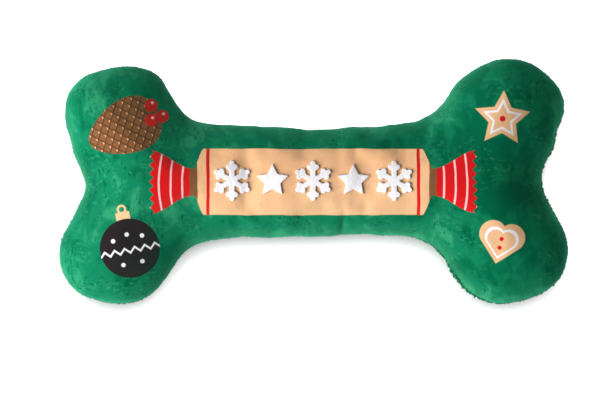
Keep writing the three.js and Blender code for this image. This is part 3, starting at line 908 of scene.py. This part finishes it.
def make_wad(sizes, node, covers):
    """One wad of fibre, from the solid that holds its place, kept inside the covers."""
    bm = bmesh.new()
    bm.from_mesh(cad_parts[node].data)
    bmesh.ops.remove_doubles(bm, verts=bm.verts, dist=WAD_WELD)
    wad = remeshed(piece_from(bm, node.replace("fill", "stuffing")), WAD_VOXEL)
    places = coordinates(wad.data)
    fluff = WAD_FLUFF * noise_values(places, WAD_FLUFF_SIZE, WAD_FLUFF_SEED) - WAD_FLUFF
    places = places + directions(wad.data) * fluff[:, None]
    deep = sizes.cloth_thickness + WAD_CLEARANCE
    for place in places:
        point = Vector(place)
        for cover in covers:
            found, normal, _, _ = cover.find_nearest(point, COVER_NEARBY)
            if found is None:
                continue
            above = (point - found).dot(normal)
            if above > -deep:
                point -= normal * (above + deep)
        place[:] = point
    move_to(wad.data, places)
    return wad


# Squeakers

SQUEAKER_STEPS = 48
CORNER_STEPS = 6
# A corner this share of half the height leaves a short straight side
FULLEST_CORNER_SHARE = 0.98
SHELLS = {
    "pouch": SimpleNamespace(wall=0.0006, corner=0.009, mouth=0.0092),
    "bulb": SimpleNamespace(wall=0.0011, corner=0.0128, mouth=0.0060),
}


def turned_piece(name, profile, centre):
    """A shell turned round the squeaker's upright axis from a profile of (radius, height)."""
    bm = bmesh.new()
    verts = [bm.verts.new((radius, 0, height)) for radius, height in profile]
    edges = [bm.edges.new(pair) for pair in zip(verts, verts[1:])]
    bmesh.ops.spin(
        bm, geom=verts + edges, cent=(0, 0, 0), axis=(0, 0, 1), angle=2 * math.pi,
        steps=SQUEAKER_STEPS, use_merge=True,
    )
    bmesh.ops.remove_doubles(bm, verts=bm.verts, dist=WELD)
    bmesh.ops.recalc_face_normals(bm, faces=bm.faces)
    bmesh.ops.translate(bm, verts=bm.verts, vec=centre)
    return piece_from(bm, name)


def rounded_profile(radius, foot, top, corner, mouth):
    """Half the section of a round bag: a flat base, two rounded corners and an open mouth."""
    profile = [(0, foot), ((radius - corner) / 2, foot)]
    for height, start in ((foot + corner, -0.5), (top - corner, 0)):
        for i in range(CORNER_STEPS + 1):
            angle = math.pi * (start + i / (2 * CORNER_STEPS))
            out = radius - corner + corner * math.cos(angle)
            profile.append((out, height + corner * math.sin(angle)))
    profile.append((mouth, top))
    return profile


def make_shell(side, node):
    """The cloth pouch or the soft bulb of one squeaker."""
    shape = SHELLS[node]
    low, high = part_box(f"{side}_{node}")
    radius, half = (high.x - low.x) / 2, (high.z - low.z) / 2
    corner = min(shape.corner, half * FULLEST_CORNER_SHARE)
    profile = rounded_profile(radius, -half, half, corner, shape.mouth)
    piece = turned_piece(f"{side}_squeaker_{node}", profile, (low + high) / 2)
    return modified(piece, "SOLIDIFY", thickness=shape.wall, offset=-1)


def press_with(piece):
    """Gives a pouch or bulb a mesh of its own."""
    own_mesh(piece)


# Materials

# Half the width over which one printed colour gives way to the next
PRINT_EDGE = 0.0004


def feed(entry, value):
    """Gives a socket its value: a field, another socket, a colour or a plain number."""
    if isinstance(value, Field):
        value = value.socket
    if isinstance(value, bpy.types.NodeSocket):
        entry.id_data.links.new(value, entry)
    elif entry.type == "RGBA":
        entry.default_value = (*value, 1)
    else:
        entry.default_value = value


def add_node(tree, kind, inputs, **values):
    """A new shader node with its values set and its inputs fed."""
    node = set_values(tree.nodes.new("ShaderNode" + kind), **values)
    for name, value in inputs.items():
        feed(node.inputs[name], value)
    return node


class Field:
    """A number that varies over the surface; the usual signs of arithmetic add maths nodes."""

    def __init__(self, socket):
        self.socket, self.tree = socket, socket.id_data

    def maths(self, operation, *others):
        inputs = dict(enumerate((self, *others)))
        return Field(add_node(self.tree, "Math", inputs, operation=operation).outputs[0])

    __add__ = partialmethod(maths, "ADD")
    __sub__ = partialmethod(maths, "SUBTRACT")
    __mul__ = partialmethod(maths, "MULTIPLY")
    __truediv__ = partialmethod(maths, "DIVIDE")
    __abs__ = partialmethod(maths, "ABSOLUTE")

    def rising(self, start, stop):
        """0 at start and 1 at stop, smooth between; start may be the larger."""
        inputs = {"Value": self, "From Min": start, "From Max": stop}
        node = add_node(self.tree, "MapRange", inputs, interpolation_type="SMOOTHSTEP")
        return Field(node.outputs["Result"])

    def under(self, limit):
        """1 below a limit and 0 above it, as sharp as the edge of a print."""
        return self.rising(limit + PRINT_EDGE, limit - PRINT_EDGE)

    def folded(self, step):
        """Runs to and fro between 0 and half a step."""
        return (self / step).maths("PINGPONG", 0.5) * step


def both(one, other):
    return one.maths("MINIMUM", other)


def either(one, other):
    return one.maths("MAXIMUM", other)


def distance(x, y, centre):
    """How far a place lies from a centre."""
    away_x, away_y = x - centre[0], y - centre[1]
    return (away_x * away_x + away_y * away_y).maths("SQRT")


def spot(x, y, centre, radius):
    """A round spot."""
    return distance(x, y, centre).under(radius)


class Surface:
    """The nodes of one material, with its place on the object and its shader."""

    def __init__(self, name):
        self.material = bpy.data.materials.new(name)
        self.material.use_nodes = True
        self.tree = self.material.node_tree
        self.place = add_node(self.tree, "TexCoord", {}).outputs["Object"]
        split = add_node(self.tree, "SeparateXYZ", {0: self.place})
        self.x, self.y, self.z = (Field(output) for output in split.outputs)

    def noise(self, scale, place=None, **values):
        """Noise from 0 to 1 with so many lumps to the metre."""
        inputs = {"Vector": place or self.place, "Scale": scale}
        inputs.update({name.title(): value for name, value in values.items()})
        return Field(add_node(self.tree, "TexNoise", inputs).outputs["Fac"])

    def streaks(self, scales, turn=0, **values):
        """Noise with so many lumps to the metre each way, turned about Z."""
        inputs = {"Vector": self.place, "Rotation": (0, 0, turn), "Scale": scales}
        return self.noise(1, add_node(self.tree, "Mapping", inputs).outputs[0], **values)

    def layer(self, under, mask, over, blend="MIX"):
        """One colour laid over another where the mask is 1."""
        node = add_node(self.tree, "Mix", {}, data_type="RGBA", blend_type=blend)
        feed(node.inputs["Factor"], mask)
        for entry, value in zip((i for i in node.inputs if i.type == "RGBA"), (under, over)):
            feed(entry, value)
        return [output for output in node.outputs if output.type == "RGBA"][0]

    def shaded(self, picture, shade, darkest):
        """A colour made darker where the shade is 0."""
        grey = self.layer((darkest,) * 3, shade, (1, 1, 1))
        return self.layer(picture, 1, grey, "MULTIPLY")

    def finish(self, picture, relief, depth, **values):
        """Ends the material: its colour, its relief in metres and the shader's plain values."""
        bump = add_node(self.tree, "Bump", {"Height": relief, "Distance": depth})
        shader = self.tree.nodes["Principled BSDF"]
        feed(shader.inputs["Base Color"], picture)
        feed(shader.inputs["Normal"], bump.outputs[0])
        for name, value in values.items():
            feed(shader.inputs[name.replace("_", " ")], value)
        return self.material


# The plush

# How far from the seam the painted sheen reaches, and its share on the covers and on the tufts
RIM_SHEEN_REACH = 0.024
COVER_RIM_SHEEN_SHARE = 0.28
TUFT_RIM_SHEEN_SHARE = 0.05
# How much darker the standing tufts are painted, as shade along the seam
TUFT_SHADE_SHARE = 0.85
PILE_SHEEN = (0.05, 0.80, 0.48)
# Places painted lighter or darker, partly the pile's brushed nap and partly painted shade and light, such
# as the shade in the hollow where the shaft meets the upper right lobe: the middle and reach of each place,
# and by how much
NAP_AND_PAINTED_SHADE = (
    ((0.138, 0.034), 0.046, -0.19), ((0.135, 0.088), 0.032, -0.09), ((0.192, 0.045), 0.050, -0.06),
    ((0.168, -0.042), 0.072, -0.08), ((-0.200, -0.010), 0.034, -0.11), ((-0.212, 0.030), 0.022, -0.08),
    ((-0.116, -0.068), 0.032, -0.10), ((-0.190, -0.090), 0.030, 0.10), ((-0.085, -0.046), 0.032, 0.07),
    ((-0.010, -0.044), 0.036, 0.10), ((-0.070, 0.052), 0.072, 0.11),
)


def bone_material(name, sizes, colours, rim_sheen_share, tuft_shade_share=0, printed=False):
    """Short green plush brushed every way by hand, with a painted sheen that makes it paler by a share
    where the cloth turns at the seam.

    Standing tufts are darker by a share, as painted shade along the seam, and the front is printed.
    """
    surface = Surface(name)
    broad = surface.noise(15, detail=3, distortion=0.9)
    brush = surface.streaks((75, 45, 60), 0.9, detail=3, roughness=0.55, distortion=0.5)
    fine = surface.noise(1100, roughness=0.6)
    brushed = broad * 0.6 + brush * 0.4
    # The listed places add painted shade and painted light to the brushed nap
    for middle, reach, amount in NAP_AND_PAINTED_SHADE:
        brushed = brushed + distance(surface.x, surface.y, middle).rising(reach, 0) * amount
    # Pile colours from the nap, and from the painted shade and light of the listed places
    green = surface.layer(colours.pile, brushed.rising(0.51, 0.62), colours.pile_light)
    green = surface.layer(green, brushed.rising(0.49, 0.38), colours.pile_dark)
    # Small marks where the pile parts or stands up, in loose groups
    groups = surface.noise(30)
    parting = surface.streaks((380, 170, 260), 0.75, roughness=0.6)
    standing = surface.streaks((170, 330, 260), 0.35, roughness=0.6)
    raised = both(groups.rising(0.42, 0.58), standing.rising(0.53, 0.66))
    green = surface.layer(green, raised * 0.5, colours.pile_light)
    marks = both(groups.rising(0.46, 0.60), parting.rising(0.575, 0.655))
    green = surface.layer(green, marks * 0.65, colours.pile_mark)
    # Painted sheen: the pile is painted paler near the seam, where the cloth turns away and its pile would
    # catch the light at a grazing angle
    painted_rim_sheen = abs(surface.z - sizes.seam_height).rising(RIM_SHEEN_REACH, 0)
    green = surface.layer(green, painted_rim_sheen * (brush * 0.8 + 0.6) * rim_sheen_share, colours.pile_rim_sheen)
    # Painted shade: the standing tufts along the seam are darkened in places
    if tuft_shade_share:
        green = surface.layer(green, parting.rising(0.62, 0.40) * tuft_shade_share, colours.pile_mark)
    picture = print_picture(surface, colours, green) if printed else green
    picture = surface.shaded(picture, marks.rising(1, 0), 0.90)
    picture = surface.shaded(picture, (fine * 0.5 + brush * 0.5).rising(0.30, 0.56), 0.93)
    return surface.finish(
        picture, brush * 0.6 + fine * 0.4, 0.0004, Roughness=0.95, Sheen_Weight=0.42,
        Sheen_Roughness=0.5, Sheen_Tint=PILE_SHEEN, Specular_IOR_Level=0.03,
    )


# The printed picture: a traditional paper cracker along the shaft, a pine cone and a bauble on the
# left end, and a gingerbread star and heart on the right end


def print_picture(surface, colours, ground):
    """Lays the printed picture over the ground colour."""
    picture = ground
    for print_motif in (print_cracker, print_cone, print_bauble, print_star, print_heart):
        picture = print_motif(surface, colours, picture)
    return picture


def turned_place(surface, motif):
    """Where a point of the picture lies along and across a motif."""
    x, y = surface.x - motif.centre[0], surface.y - motif.centre[1]
    along = x * math.cos(motif.turn) + y * math.sin(motif.turn)
    across = y * math.cos(motif.turn) - x * math.sin(motif.turn)
    return along, across


CONE = SimpleNamespace(
    centre=(-0.168, 0.047), turn=0.42, half_length=0.034, half_width=0.024, taper=0.30,
    scale=0.0085, skew=0.8, edge=(1.03, 0.97), foot=(0.06, 0.30), tip=(0.62, 0.78),
    berry=0.0056, glint_share=0.24, glint_aside_share=0.3,
    berries=((0.0300, 0.0090), (0.0350, -0.0040), (0.0250, -0.0035)),
)


def print_cone(surface, colours, ground):
    """A brown pine cone with overlapping scales, and three red berries at its stalk."""
    along, across = turned_place(surface, CONE)
    width = along * (CONE.taper * CONE.half_width / CONE.half_length) + CONE.half_width
    long, wide = along / CONE.half_length, across / width
    # Each scale is a diamond whose outer tip is light and whose foot is dark
    rising = ((along + across * CONE.skew) / CONE.scale).maths("FRACT")
    falling = ((along - across * CONE.skew) / CONE.scale).maths("FRACT")
    foot, tip = both(rising, falling), either(rising, falling)
    cone = surface.layer(colours.brown_dark, foot.rising(*CONE.foot), colours.brown)
    cone = surface.layer(cone, (tip * foot).rising(*CONE.tip), colours.paper_dark)
    picture = surface.layer(ground, (long * long + wide * wide).rising(*CONE.edge), cone)
    aside = CONE.berry * CONE.glint_aside_share
    for x, y in CONE.berries:
        picture = surface.layer(picture, spot(along, across, (x, y), CONE.berry), colours.red)
        glint = spot(along, across, (x + aside, y + aside), CONE.berry * CONE.glint_share)
        picture = surface.layer(picture, glint, colours.stripe)
    return picture


BAUBLE = SimpleNamespace(
    centre=(-0.163, -0.060), turn=0.20, radius=0.0265, cap=0.0062, loop=0.0042, loop_rise_share=0.6,
    hole_share=0.58, zigzag=0.009, zigzag_foot=-0.0025, zigzag_drop=0.0015, line=0.0011, dot=0.0019,
    dots=((-0.013, 0.009), (0, 0.0125), (0.013, 0.009), (-0.0085, -0.0135), (0.0085, -0.0135)),
)


def print_bauble(surface, colours, ground):
    """A black bauble with a tan cap, a white zigzag and snow dots."""
    across, up = turned_place(surface, BAUBLE)
    cap_height = BAUBLE.radius + BAUBLE.cap
    loop_at = (0, cap_height + BAUBLE.loop * BAUBLE.loop_rise_share)
    picture = surface.layer(ground, spot(across, up, loop_at, BAUBLE.loop), colours.paper)
    hole = spot(across, up, loop_at, BAUBLE.loop * BAUBLE.hole_share)
    picture = surface.layer(picture, hole, ground)
    in_height = both((up - cap_height).under(0), up.rising(0, PRINT_EDGE))
    cap = both(in_height, (abs(across) - BAUBLE.cap).under(0))
    picture = surface.layer(picture, cap, colours.paper)
    zigzag = across.folded(BAUBLE.zigzag) + BAUBLE.zigzag_foot
    line = abs(up - zigzag + BAUBLE.zigzag_drop).under(BAUBLE.line)
    dressed = surface.layer(colours.black, line, colours.white)
    for dot in BAUBLE.dots:
        dressed = surface.layer(dressed, spot(across, up, dot, BAUBLE.dot), colours.white)
    return surface.layer(picture, spot(across, up, (0, 0), BAUBLE.radius), dressed)


STAR_BISCUIT = SimpleNamespace(
    centre=(0.168, 0.055), turn=0.25, radius=0.0255, waist=0.50, points=5, icing=0.0042, line=0.0009,
    button=0.0026,
)


def print_star(surface, colours, ground):
    """A tan star biscuit with a line of icing and a red button."""
    size = STAR_BISCUIT
    across, up = turned_place(surface, size)
    reach = distance(across, up, (0, 0))
    fold = up.maths("ARCTAN2", across).folded(2 * math.pi / size.points)
    # Each of the ten edges is the straight line from a point of the star to a corner between points
    corner = size.radius * size.waist
    run_x = corner * math.cos(math.pi / size.points) - size.radius
    run_y = corner * math.sin(math.pi / size.points)
    run = math.hypot(run_x, run_y)
    beside = reach * fold.maths("COSINE") * (run_y / run) - reach * fold.maths("SINE") * (run_x / run)
    outside = beside - size.radius * run_y / run
    biscuit = surface.layer(ground, outside.under(0), colours.paper)
    biscuit = surface.layer(biscuit, abs(outside + size.icing).under(size.line), colours.white)
    return surface.layer(biscuit, spot(across, up, (0, 0), size.button), colours.red)


HEART_BISCUIT = SimpleNamespace(
    centre=(0.166, -0.057), turn=-0.22, side=0.0170, icing_shares=(0.74, 0.62), button=0.0019,
    buttons=((0, 0.0055), (0, -0.0025)),
)


def heart(across, up, side):
    """How far outside a heart a place lies: a square on its corner with a round lobe on each side."""
    aside = abs(across)
    point = (aside + abs(up) - side) * math.sqrt(0.5)
    lobes = distance(aside, up, (side / 2, side / 2)) - side * math.sqrt(0.5)
    return both(point, lobes)


def print_heart(surface, colours, ground):
    """A tan heart biscuit with a line of icing and two red buttons."""
    size = HEART_BISCUIT
    across, up = turned_place(surface, size)
    outer, inner = (size.side * of for of in size.icing_shares)
    biscuit = ground
    for side, paint in ((size.side, colours.paper), (outer, colours.white), (inner, colours.paper)):
        biscuit = surface.layer(biscuit, heart(across, up, side).under(0), paint)
    for button in size.buttons:
        biscuit = surface.layer(biscuit, spot(across, up, button, size.button), colours.red)
    return biscuit


# The cracker's sizes; its paper is painted paler towards its upper edge, as painted light
CRACKER = SimpleNamespace(
    y=-0.001, barrel=0.1035, half_height=0.0295, neck=0.1065, neck_half=0.012, neck_width=0.0065,
    tip=0.145, tip_half=0.028, stripe_gap=0.0100, stripe=0.0008, stripe_bow=3.0, tooth=0.0075,
    ribbon=0.0034, band=(0.0920, 0.0950), waver=0.0026, painted_lit_side=(-0.004, 0.026), fold=(0.58, 0.92),
)


def cracker_shape(out, y):
    """Where the cracker lies: a barrel, pinched necks and flared ends with a toothed edge."""
    size = CRACKER
    flare = out.rising(size.neck, size.tip)
    on_barrel = out.rising(size.neck, size.barrel - size.neck_width)
    end_half = flare * (size.tip_half - size.neck_half) + size.neck_half
    half = end_half + on_barrel * (size.half_height - size.neck_half)
    ended = (out + y.folded(size.tooth) - size.tip).under(0)
    return both((abs(y) - half).under(0), ended)


def print_cracker(surface, colours, ground):
    """The cracker: a tan paper barrel and flared red ends with pale stripes."""
    size = CRACKER
    waver = (surface.noise(32, detail=3, roughness=0.45) - 0.5) * size.waver
    y = surface.y - size.y + waver
    out = abs(surface.x) + waver
    along = out - size.neck + y * y * size.stripe_bow
    striped = along.folded(size.stripe_gap).under(size.stripe)
    red = surface.layer(colours.red, striped, colours.stripe)
    folds = surface.streaks((42, 16, 20), distortion=0.4)
    # Painted light: the paper is painted paler towards its upper edge, against the shade there
    paper = surface.layer(colours.paper, y.rising(*size.painted_lit_side), colours.paper_painted_lit)
    paper = surface.layer(paper, folds.rising(*size.fold), colours.paper_dark)
    start, stop = size.band
    band = both(out.rising(start - PRINT_EDGE, start + PRINT_EDGE), out.under(stop))
    paper = surface.layer(paper, band, colours.red)
    dressed = surface.layer(red, out.under(size.barrel), paper)
    ribbon = abs(out - size.neck).under(size.ribbon)
    dressed = surface.layer(dressed, ribbon, colours.brown)
    return surface.layer(ground, cracker_shape(out, y), dressed)


# The felt, the threads and what lies inside

# How bright the felt's hollows and the thread's lit plies are beside their own colours
FELT_SHADED, THREAD_LIT = 0.94, 1.7


def felt_material(colours):
    """White needled felt with a soft face."""
    surface = Surface("white felt")
    fluff = surface.noise(700, detail=4, roughness=0.7)
    lumps = surface.noise(230)
    shaded = [value * FELT_SHADED for value in colours.white]
    picture = surface.layer(shaded, (fluff * 0.5 + lumps * 0.5).rising(0.36, 0.56), colours.white)
    return surface.finish(
        picture, fluff * 0.6 + lumps * 0.4, 0.0003, Roughness=0.95, Sheen_Weight=0.3,
        Sheen_Roughness=0.5, Specular_IOR_Level=0.1,
    )


def thread_material(colours):
    """Spun thread with its plies turned round it."""
    surface = Surface("sewing thread")
    ply = surface.noise(2600, roughness=0.6)
    light = [value * THREAD_LIT for value in colours.thread]
    picture = surface.layer(colours.thread, ply.rising(0.42, 0.6), light)
    return surface.finish(
        picture, ply, 0.0002, Roughness=0.6, Sheen_Weight=0.3, Specular_IOR_Level=0.3,
    )


def fibre_material():
    """Loose white polyester fibre."""
    surface = Surface("stuffing fibre")
    strands = surface.streaks((300, 90, 160), 0.7, detail=4, roughness=0.7, distortion=1.5)
    shade = (strands * 0.6 + surface.noise(90, detail=3) * 0.4).rising(0.36, 0.60)
    picture = surface.layer((0.66, 0.65, 0.61), shade, (0.88, 0.87, 0.83))
    return surface.finish(
        picture, strands, 0.0012, Roughness=1.0, Sheen_Weight=0.2, Specular_IOR_Level=0.05,
    )


def pouch_material():
    """Thin bonded cloth, pressed in small points."""
    surface = Surface("pouch cloth")
    cells = add_node(surface.tree, "TexVoronoi", {"Vector": surface.place, "Scale": 650})
    points = Field(cells.outputs["Distance"])
    tone = (points * 0.5 + surface.noise(120, detail=3) * 0.5).rising(0.25, 0.55)
    picture = surface.layer((0.70, 0.68, 0.60), tone, (0.84, 0.82, 0.75))
    return surface.finish(
        picture, points, 0.0003, Roughness=0.85, Sheen_Weight=0.15, Specular_IOR_Level=0.2,
    )


def bulb_material():
    """Blow-moulded soft plastic, milky and faintly waxy."""
    surface = Surface("soft bulb plastic")
    drawn = surface.streaks((40, 40, 400))
    tone = (surface.noise(60, detail=3, distortion=0.6) * 0.6 + drawn * 0.4).rising(0.35, 0.65)
    picture = surface.layer((0.82, 0.79, 0.71), tone, (0.91, 0.89, 0.84))
    return surface.finish(
        picture, drawn, 0.0002, Roughness=0.38, Subsurface_Weight=0.15, Specular_IOR_Level=0.4,
    )


def moulded_material():
    """Hard white plastic with a fine mould finish."""
    surface = Surface("squeaker plastic")
    flow = surface.noise(110, detail=3, distortion=1.0)
    picture = surface.layer((0.86, 0.86, 0.87), flow.rising(0.4, 0.6), (0.93, 0.93, 0.94))
    return surface.finish(
        picture, surface.noise(1500), 0.00005, Roughness=0.32, Specular_IOR_Level=0.5,
    )


def film_material():
    """Clear-grey film, drawn lengthwise."""
    surface = Surface("reed film")
    drawn = surface.streaks((2200, 2200, 90))
    picture = surface.layer((0.62, 0.64, 0.66), drawn.rising(0.4, 0.6), (0.74, 0.76, 0.78))
    return surface.finish(picture, drawn, 0.00004, Roughness=0.22, Specular_IOR_Level=0.5)


# The stage

PHOTO_SCALE = 0.0009
PHOTO_SIZE = (600, 400)
OBJECT_AT = (313, 181)
CAMERA_HEIGHT = 3.0
CAMERA_REACH = 100
LENS = 200
FLOOR_SIZE = 4
# The floor lies a hair below the toy's rest, so that their faces don't fight
FLOOR_DROP = 0.0002
# How white the floor is to the eye, and to the light that it throws back on the toy
FLOOR_SEEN, FLOOR_BOUNCE = 0.90, 0.45
# How bright the world is to the eye, and to the toy
WORLD_SEEN, WORLD_LIGHT = 1, 0.12
# One large soft lamp from the left that leaves the floor out, and one for the floor and its shadow
LAMPS = (
    SimpleNamespace(
        name="soft lamp", towards=(-1.08, -0.39, 0.964), watts=44, size=1.6, away=1.5, floor="EXCLUDE",
    ),
    SimpleNamespace(
        name="floor lamp", towards=(-0.05, 0.25, 1), watts=515, size=4.6, away=4.2, floor="INCLUDE",
    ),
)


def level_by_ray(tree, seen, otherwise, *kinds):
    """One level for what the camera sees, straight or in these other ways, and another for light."""
    rays = add_node(tree, "LightPath", {}).outputs
    to_eye = Field(rays["Is Camera Ray"])
    for kind in kinds:
        to_eye = either(to_eye, Field(rays[kind]))
    return to_eye * (seen - otherwise) + otherwise


def make_floor():
    """A wide white floor that keeps the toy's shadow."""
    bm = bmesh.new()
    below = Matrix.Translation((0, 0, -FLOOR_DROP))
    bmesh.ops.create_grid(bm, x_segments=1, y_segments=1, size=FLOOR_SIZE, matrix=below)
    floor = piece_from(bm, "floor", smooth=False)
    material = bpy.data.materials.new("white floor")
    material.use_nodes = True
    tree = material.node_tree
    shader = tree.nodes["Principled BSDF"]
    white = level_by_ray(tree, FLOOR_SEEN, FLOOR_BOUNCE, "Is Glossy Ray", "Is Transmission Ray")
    feed(shader.inputs["Base Color"], white)
    feed(shader.inputs["Roughness"], 1)
    feed(shader.inputs["Specular IOR Level"], 0)
    floor.data.materials.append(material)
    return floor


def make_world():
    """A pale world that is plain white to the eye and a soft light to the toy."""
    world = bpy.data.worlds.new("studio")
    bpy.context.scene.world = world
    world.use_nodes = True
    background = world.node_tree.nodes["Background"]
    feed(background.inputs["Color"], (1, 1, 1))
    feed(background.inputs["Strength"], level_by_ray(world.node_tree, WORLD_SEEN, WORLD_LIGHT))


def make_lamps(floor):
    """The lamps, each of which lights either the toy or the floor."""
    for lamp in LAMPS:
        light = bpy.data.lights.new(lamp.name, "AREA")
        set_values(light, energy=lamp.watts, shape="DISK", size=lamp.size)
        stand = add_object(lamp.name, light)
        direction = Vector(lamp.towards).normalized()
        stand.location = direction * lamp.away
        stand.rotation_euler = direction.to_track_quat("Z", "Y").to_euler()
        receivers = bpy.data.collections.new("lit by the " + lamp.name)
        receivers.objects.link(floor)
        receivers.collection_objects[0].light_linking.link_state = lamp.floor
        stand.light_linking.receiver_collection = receivers


def make_camera(sizes):
    """Looks straight down, at the scale and place of the photograph."""
    camera = bpy.data.cameras.new("camera")
    width = PHOTO_SIZE[0] * PHOTO_SCALE / CAMERA_HEIGHT * LENS
    set_values(camera, lens=LENS, sensor_width=width, clip_end=CAMERA_REACH)
    eye = add_object("camera", camera)
    x = (PHOTO_SIZE[0] / 2 - OBJECT_AT[0]) * PHOTO_SCALE
    y = (OBJECT_AT[1] - PHOTO_SIZE[1] / 2) * PHOTO_SCALE
    eye.location = (x, y, sizes.seam_height + CAMERA_HEIGHT)
    bpy.context.scene.camera = eye


# The operators


def dress(piece, material, node=None):
    """Gives a piece its material and the body that it rides on, and hides the part that it stands for."""
    piece.data.materials.append(material)
    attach(piece, TOY)
    if node:
        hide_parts(node)
    return piece


def chosen(context):
    """The sizes and colours that the user has chosen."""
    return context.scene.plush_bone_sizes, context.scene.plush_bone_colours


class PLUSHBONE_OT_covers(bpy.types.Operator):
    """Make the printed front cover and the plain back cover"""

    bl_idname = "plush_bone.covers"
    bl_label = "Covers"

    def execute(self, context):
        sizes, colours = chosen(context)
        front, back = make_covers(sizes)
        printed = bone_material("printed plush", sizes, colours, COVER_RIM_SHEEN_SHARE, printed=True)
        plain = bone_material("plain plush", sizes, colours, COVER_RIM_SHEEN_SHARE)
        dress(front, printed, "front_panel")
        dress(back, plain, "back_panel")
        return {"FINISHED"}


class PLUSHBONE_OT_pile(bpy.types.Operator):
    """Make the tufts of pile that stand out along the seam"""

    bl_idname = "plush_bone.pile"
    bl_label = "Pile"

    def execute(self, context):
        sizes, colours = chosen(context)
        pile = make_pile(sizes)
        standing = bone_material("standing pile", sizes, colours, TUFT_RIM_SHEEN_SHARE, TUFT_SHADE_SHARE)
        dress(pile, standing)
        return {"FINISHED"}


class PLUSHBONE_OT_motifs(bpy.types.Operator):
    """Make the white felt motifs on the shaft"""

    bl_idname = "plush_bone.motifs"
    bl_label = "Felt Motifs"

    def execute(self, context):
        sizes, colours = chosen(context)
        felt = felt_material(colours)
        covered = surface_of("front_cover")
        for node in MOTIFS:
            dress(make_motif(sizes, node, covered), felt, node)
        return {"FINISHED"}


class PLUSHBONE_OT_threads(bpy.types.Operator):
    """Make the two threads of the seam and the hand-sewn closing stitches"""

    bl_idname = "plush_bone.threads"
    bl_label = "Threads"

    def execute(self, context):
        sizes, colours = chosen(context)
        sewn = thread_material(colours)
        for piece, node in (
            (seam_thread(sizes, "needle_thread", NEEDLE_SIDE), "seam_needle_thread"),
            (seam_thread(sizes, "bobbin_thread", BOBBIN_SIDE), "seam_bobbin_thread"),
            (closing_stitches(sizes), "closing_thread"),
        ):
            dress(piece, sewn, node)
        return {"FINISHED"}


class PLUSHBONE_OT_stuffing(bpy.types.Operator):
    """Make the wads of fibre inside the covers"""

    bl_idname = "plush_bone.stuffing"
    bl_label = "Stuffing"

    def execute(self, context):
        sizes, _ = chosen(context)
        fibre = fibre_material()
        covers = [surface_of(name) for name in ("front_cover", "back_cover")]
        for node in WADS:
            wad = dress(make_wad(sizes, node, covers), fibre, node)
        return {"FINISHED"}


class PLUSHBONE_OT_squeakers(bpy.types.Operator):
    """Make the pouches and bulbs of the squeakers and finish their small parts"""

    bl_idname = "plush_bone.squeakers"
    bl_label = "Squeakers"

    def execute(self, context):
        shells = (
            ("pouch", pouch_material(), "pouch_cloth"), ("bulb", bulb_material(), "soft_bulb_plastic"),
        )
        moulded, film = moulded_material(), film_material()
        for side in ("left", "right"):
            for node, material, slot in shells:
                shell = dress(make_shell(side, node), material, f"{side}_{node}")
                press_with(shell)
            for node, material in (("reed_holder", moulded), ("reed_block", moulded), ("reed", film)):
                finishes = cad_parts[f"{side}_{node}"].data.materials
                finishes.clear()
                finishes.append(material)
        return {"FINISHED"}


class PLUSHBONE_OT_stage(bpy.types.Operator):
    """Make the floor, the world, the lamps and the camera"""

    bl_idname = "plush_bone.stage"
    bl_label = "Stage"

    def execute(self, context):
        sizes, _ = chosen(context)
        floor = make_floor()
        make_world()
        make_lamps(floor)
        make_camera(sizes)
        context.scene.view_settings.view_transform = "Standard"
        return {"FINISHED"}


class PLUSHBONE_PT_toy(bpy.types.Panel):
    """Lists the steps that dress the toy, with its sizes and colours"""

    bl_label = "Plush Bone"
    bl_space_type = "VIEW_3D"
    bl_region_type = "UI"
    bl_category = "Plush Bone"

    def draw(self, context):
        column = self.layout.column()
        for operator in OPERATORS:
            column.operator(operator.bl_idname)
        for group in chosen(context):
            box = self.layout.box()
            for name in group.__annotations__:
                box.prop(group, name)


GROUPS = (PlushBoneSizes, PlushBoneColours)
OPERATORS = (
    PLUSHBONE_OT_covers,
    PLUSHBONE_OT_pile,
    PLUSHBONE_OT_motifs,
    PLUSHBONE_OT_threads,
    PLUSHBONE_OT_stuffing,
    PLUSHBONE_OT_squeakers,
    PLUSHBONE_OT_stage,
)
CLASSES = (*GROUPS, *OPERATORS, PLUSHBONE_PT_toy)


def register():
    for item in CLASSES:
        bpy.utils.register_class(item)
    bpy.types.Scene.plush_bone_sizes = bpy.props.PointerProperty(type=PlushBoneSizes)
    bpy.types.Scene.plush_bone_colours = bpy.props.PointerProperty(type=PlushBoneColours)


def unregister():
    del bpy.types.Scene.plush_bone_colours
    del bpy.types.Scene.plush_bone_sizes
    for item in reversed(CLASSES):
        bpy.utils.unregister_class(item)


def main():
    register()
    bpy.ops.plush_bone.covers()
    bpy.ops.plush_bone.pile()
    bpy.ops.plush_bone.motifs()
    bpy.ops.plush_bone.threads()
    bpy.ops.plush_bone.stuffing()
    bpy.ops.plush_bone.squeakers()
    bpy.ops.plush_bone.stage()


if __name__ == "__main__":
    main()
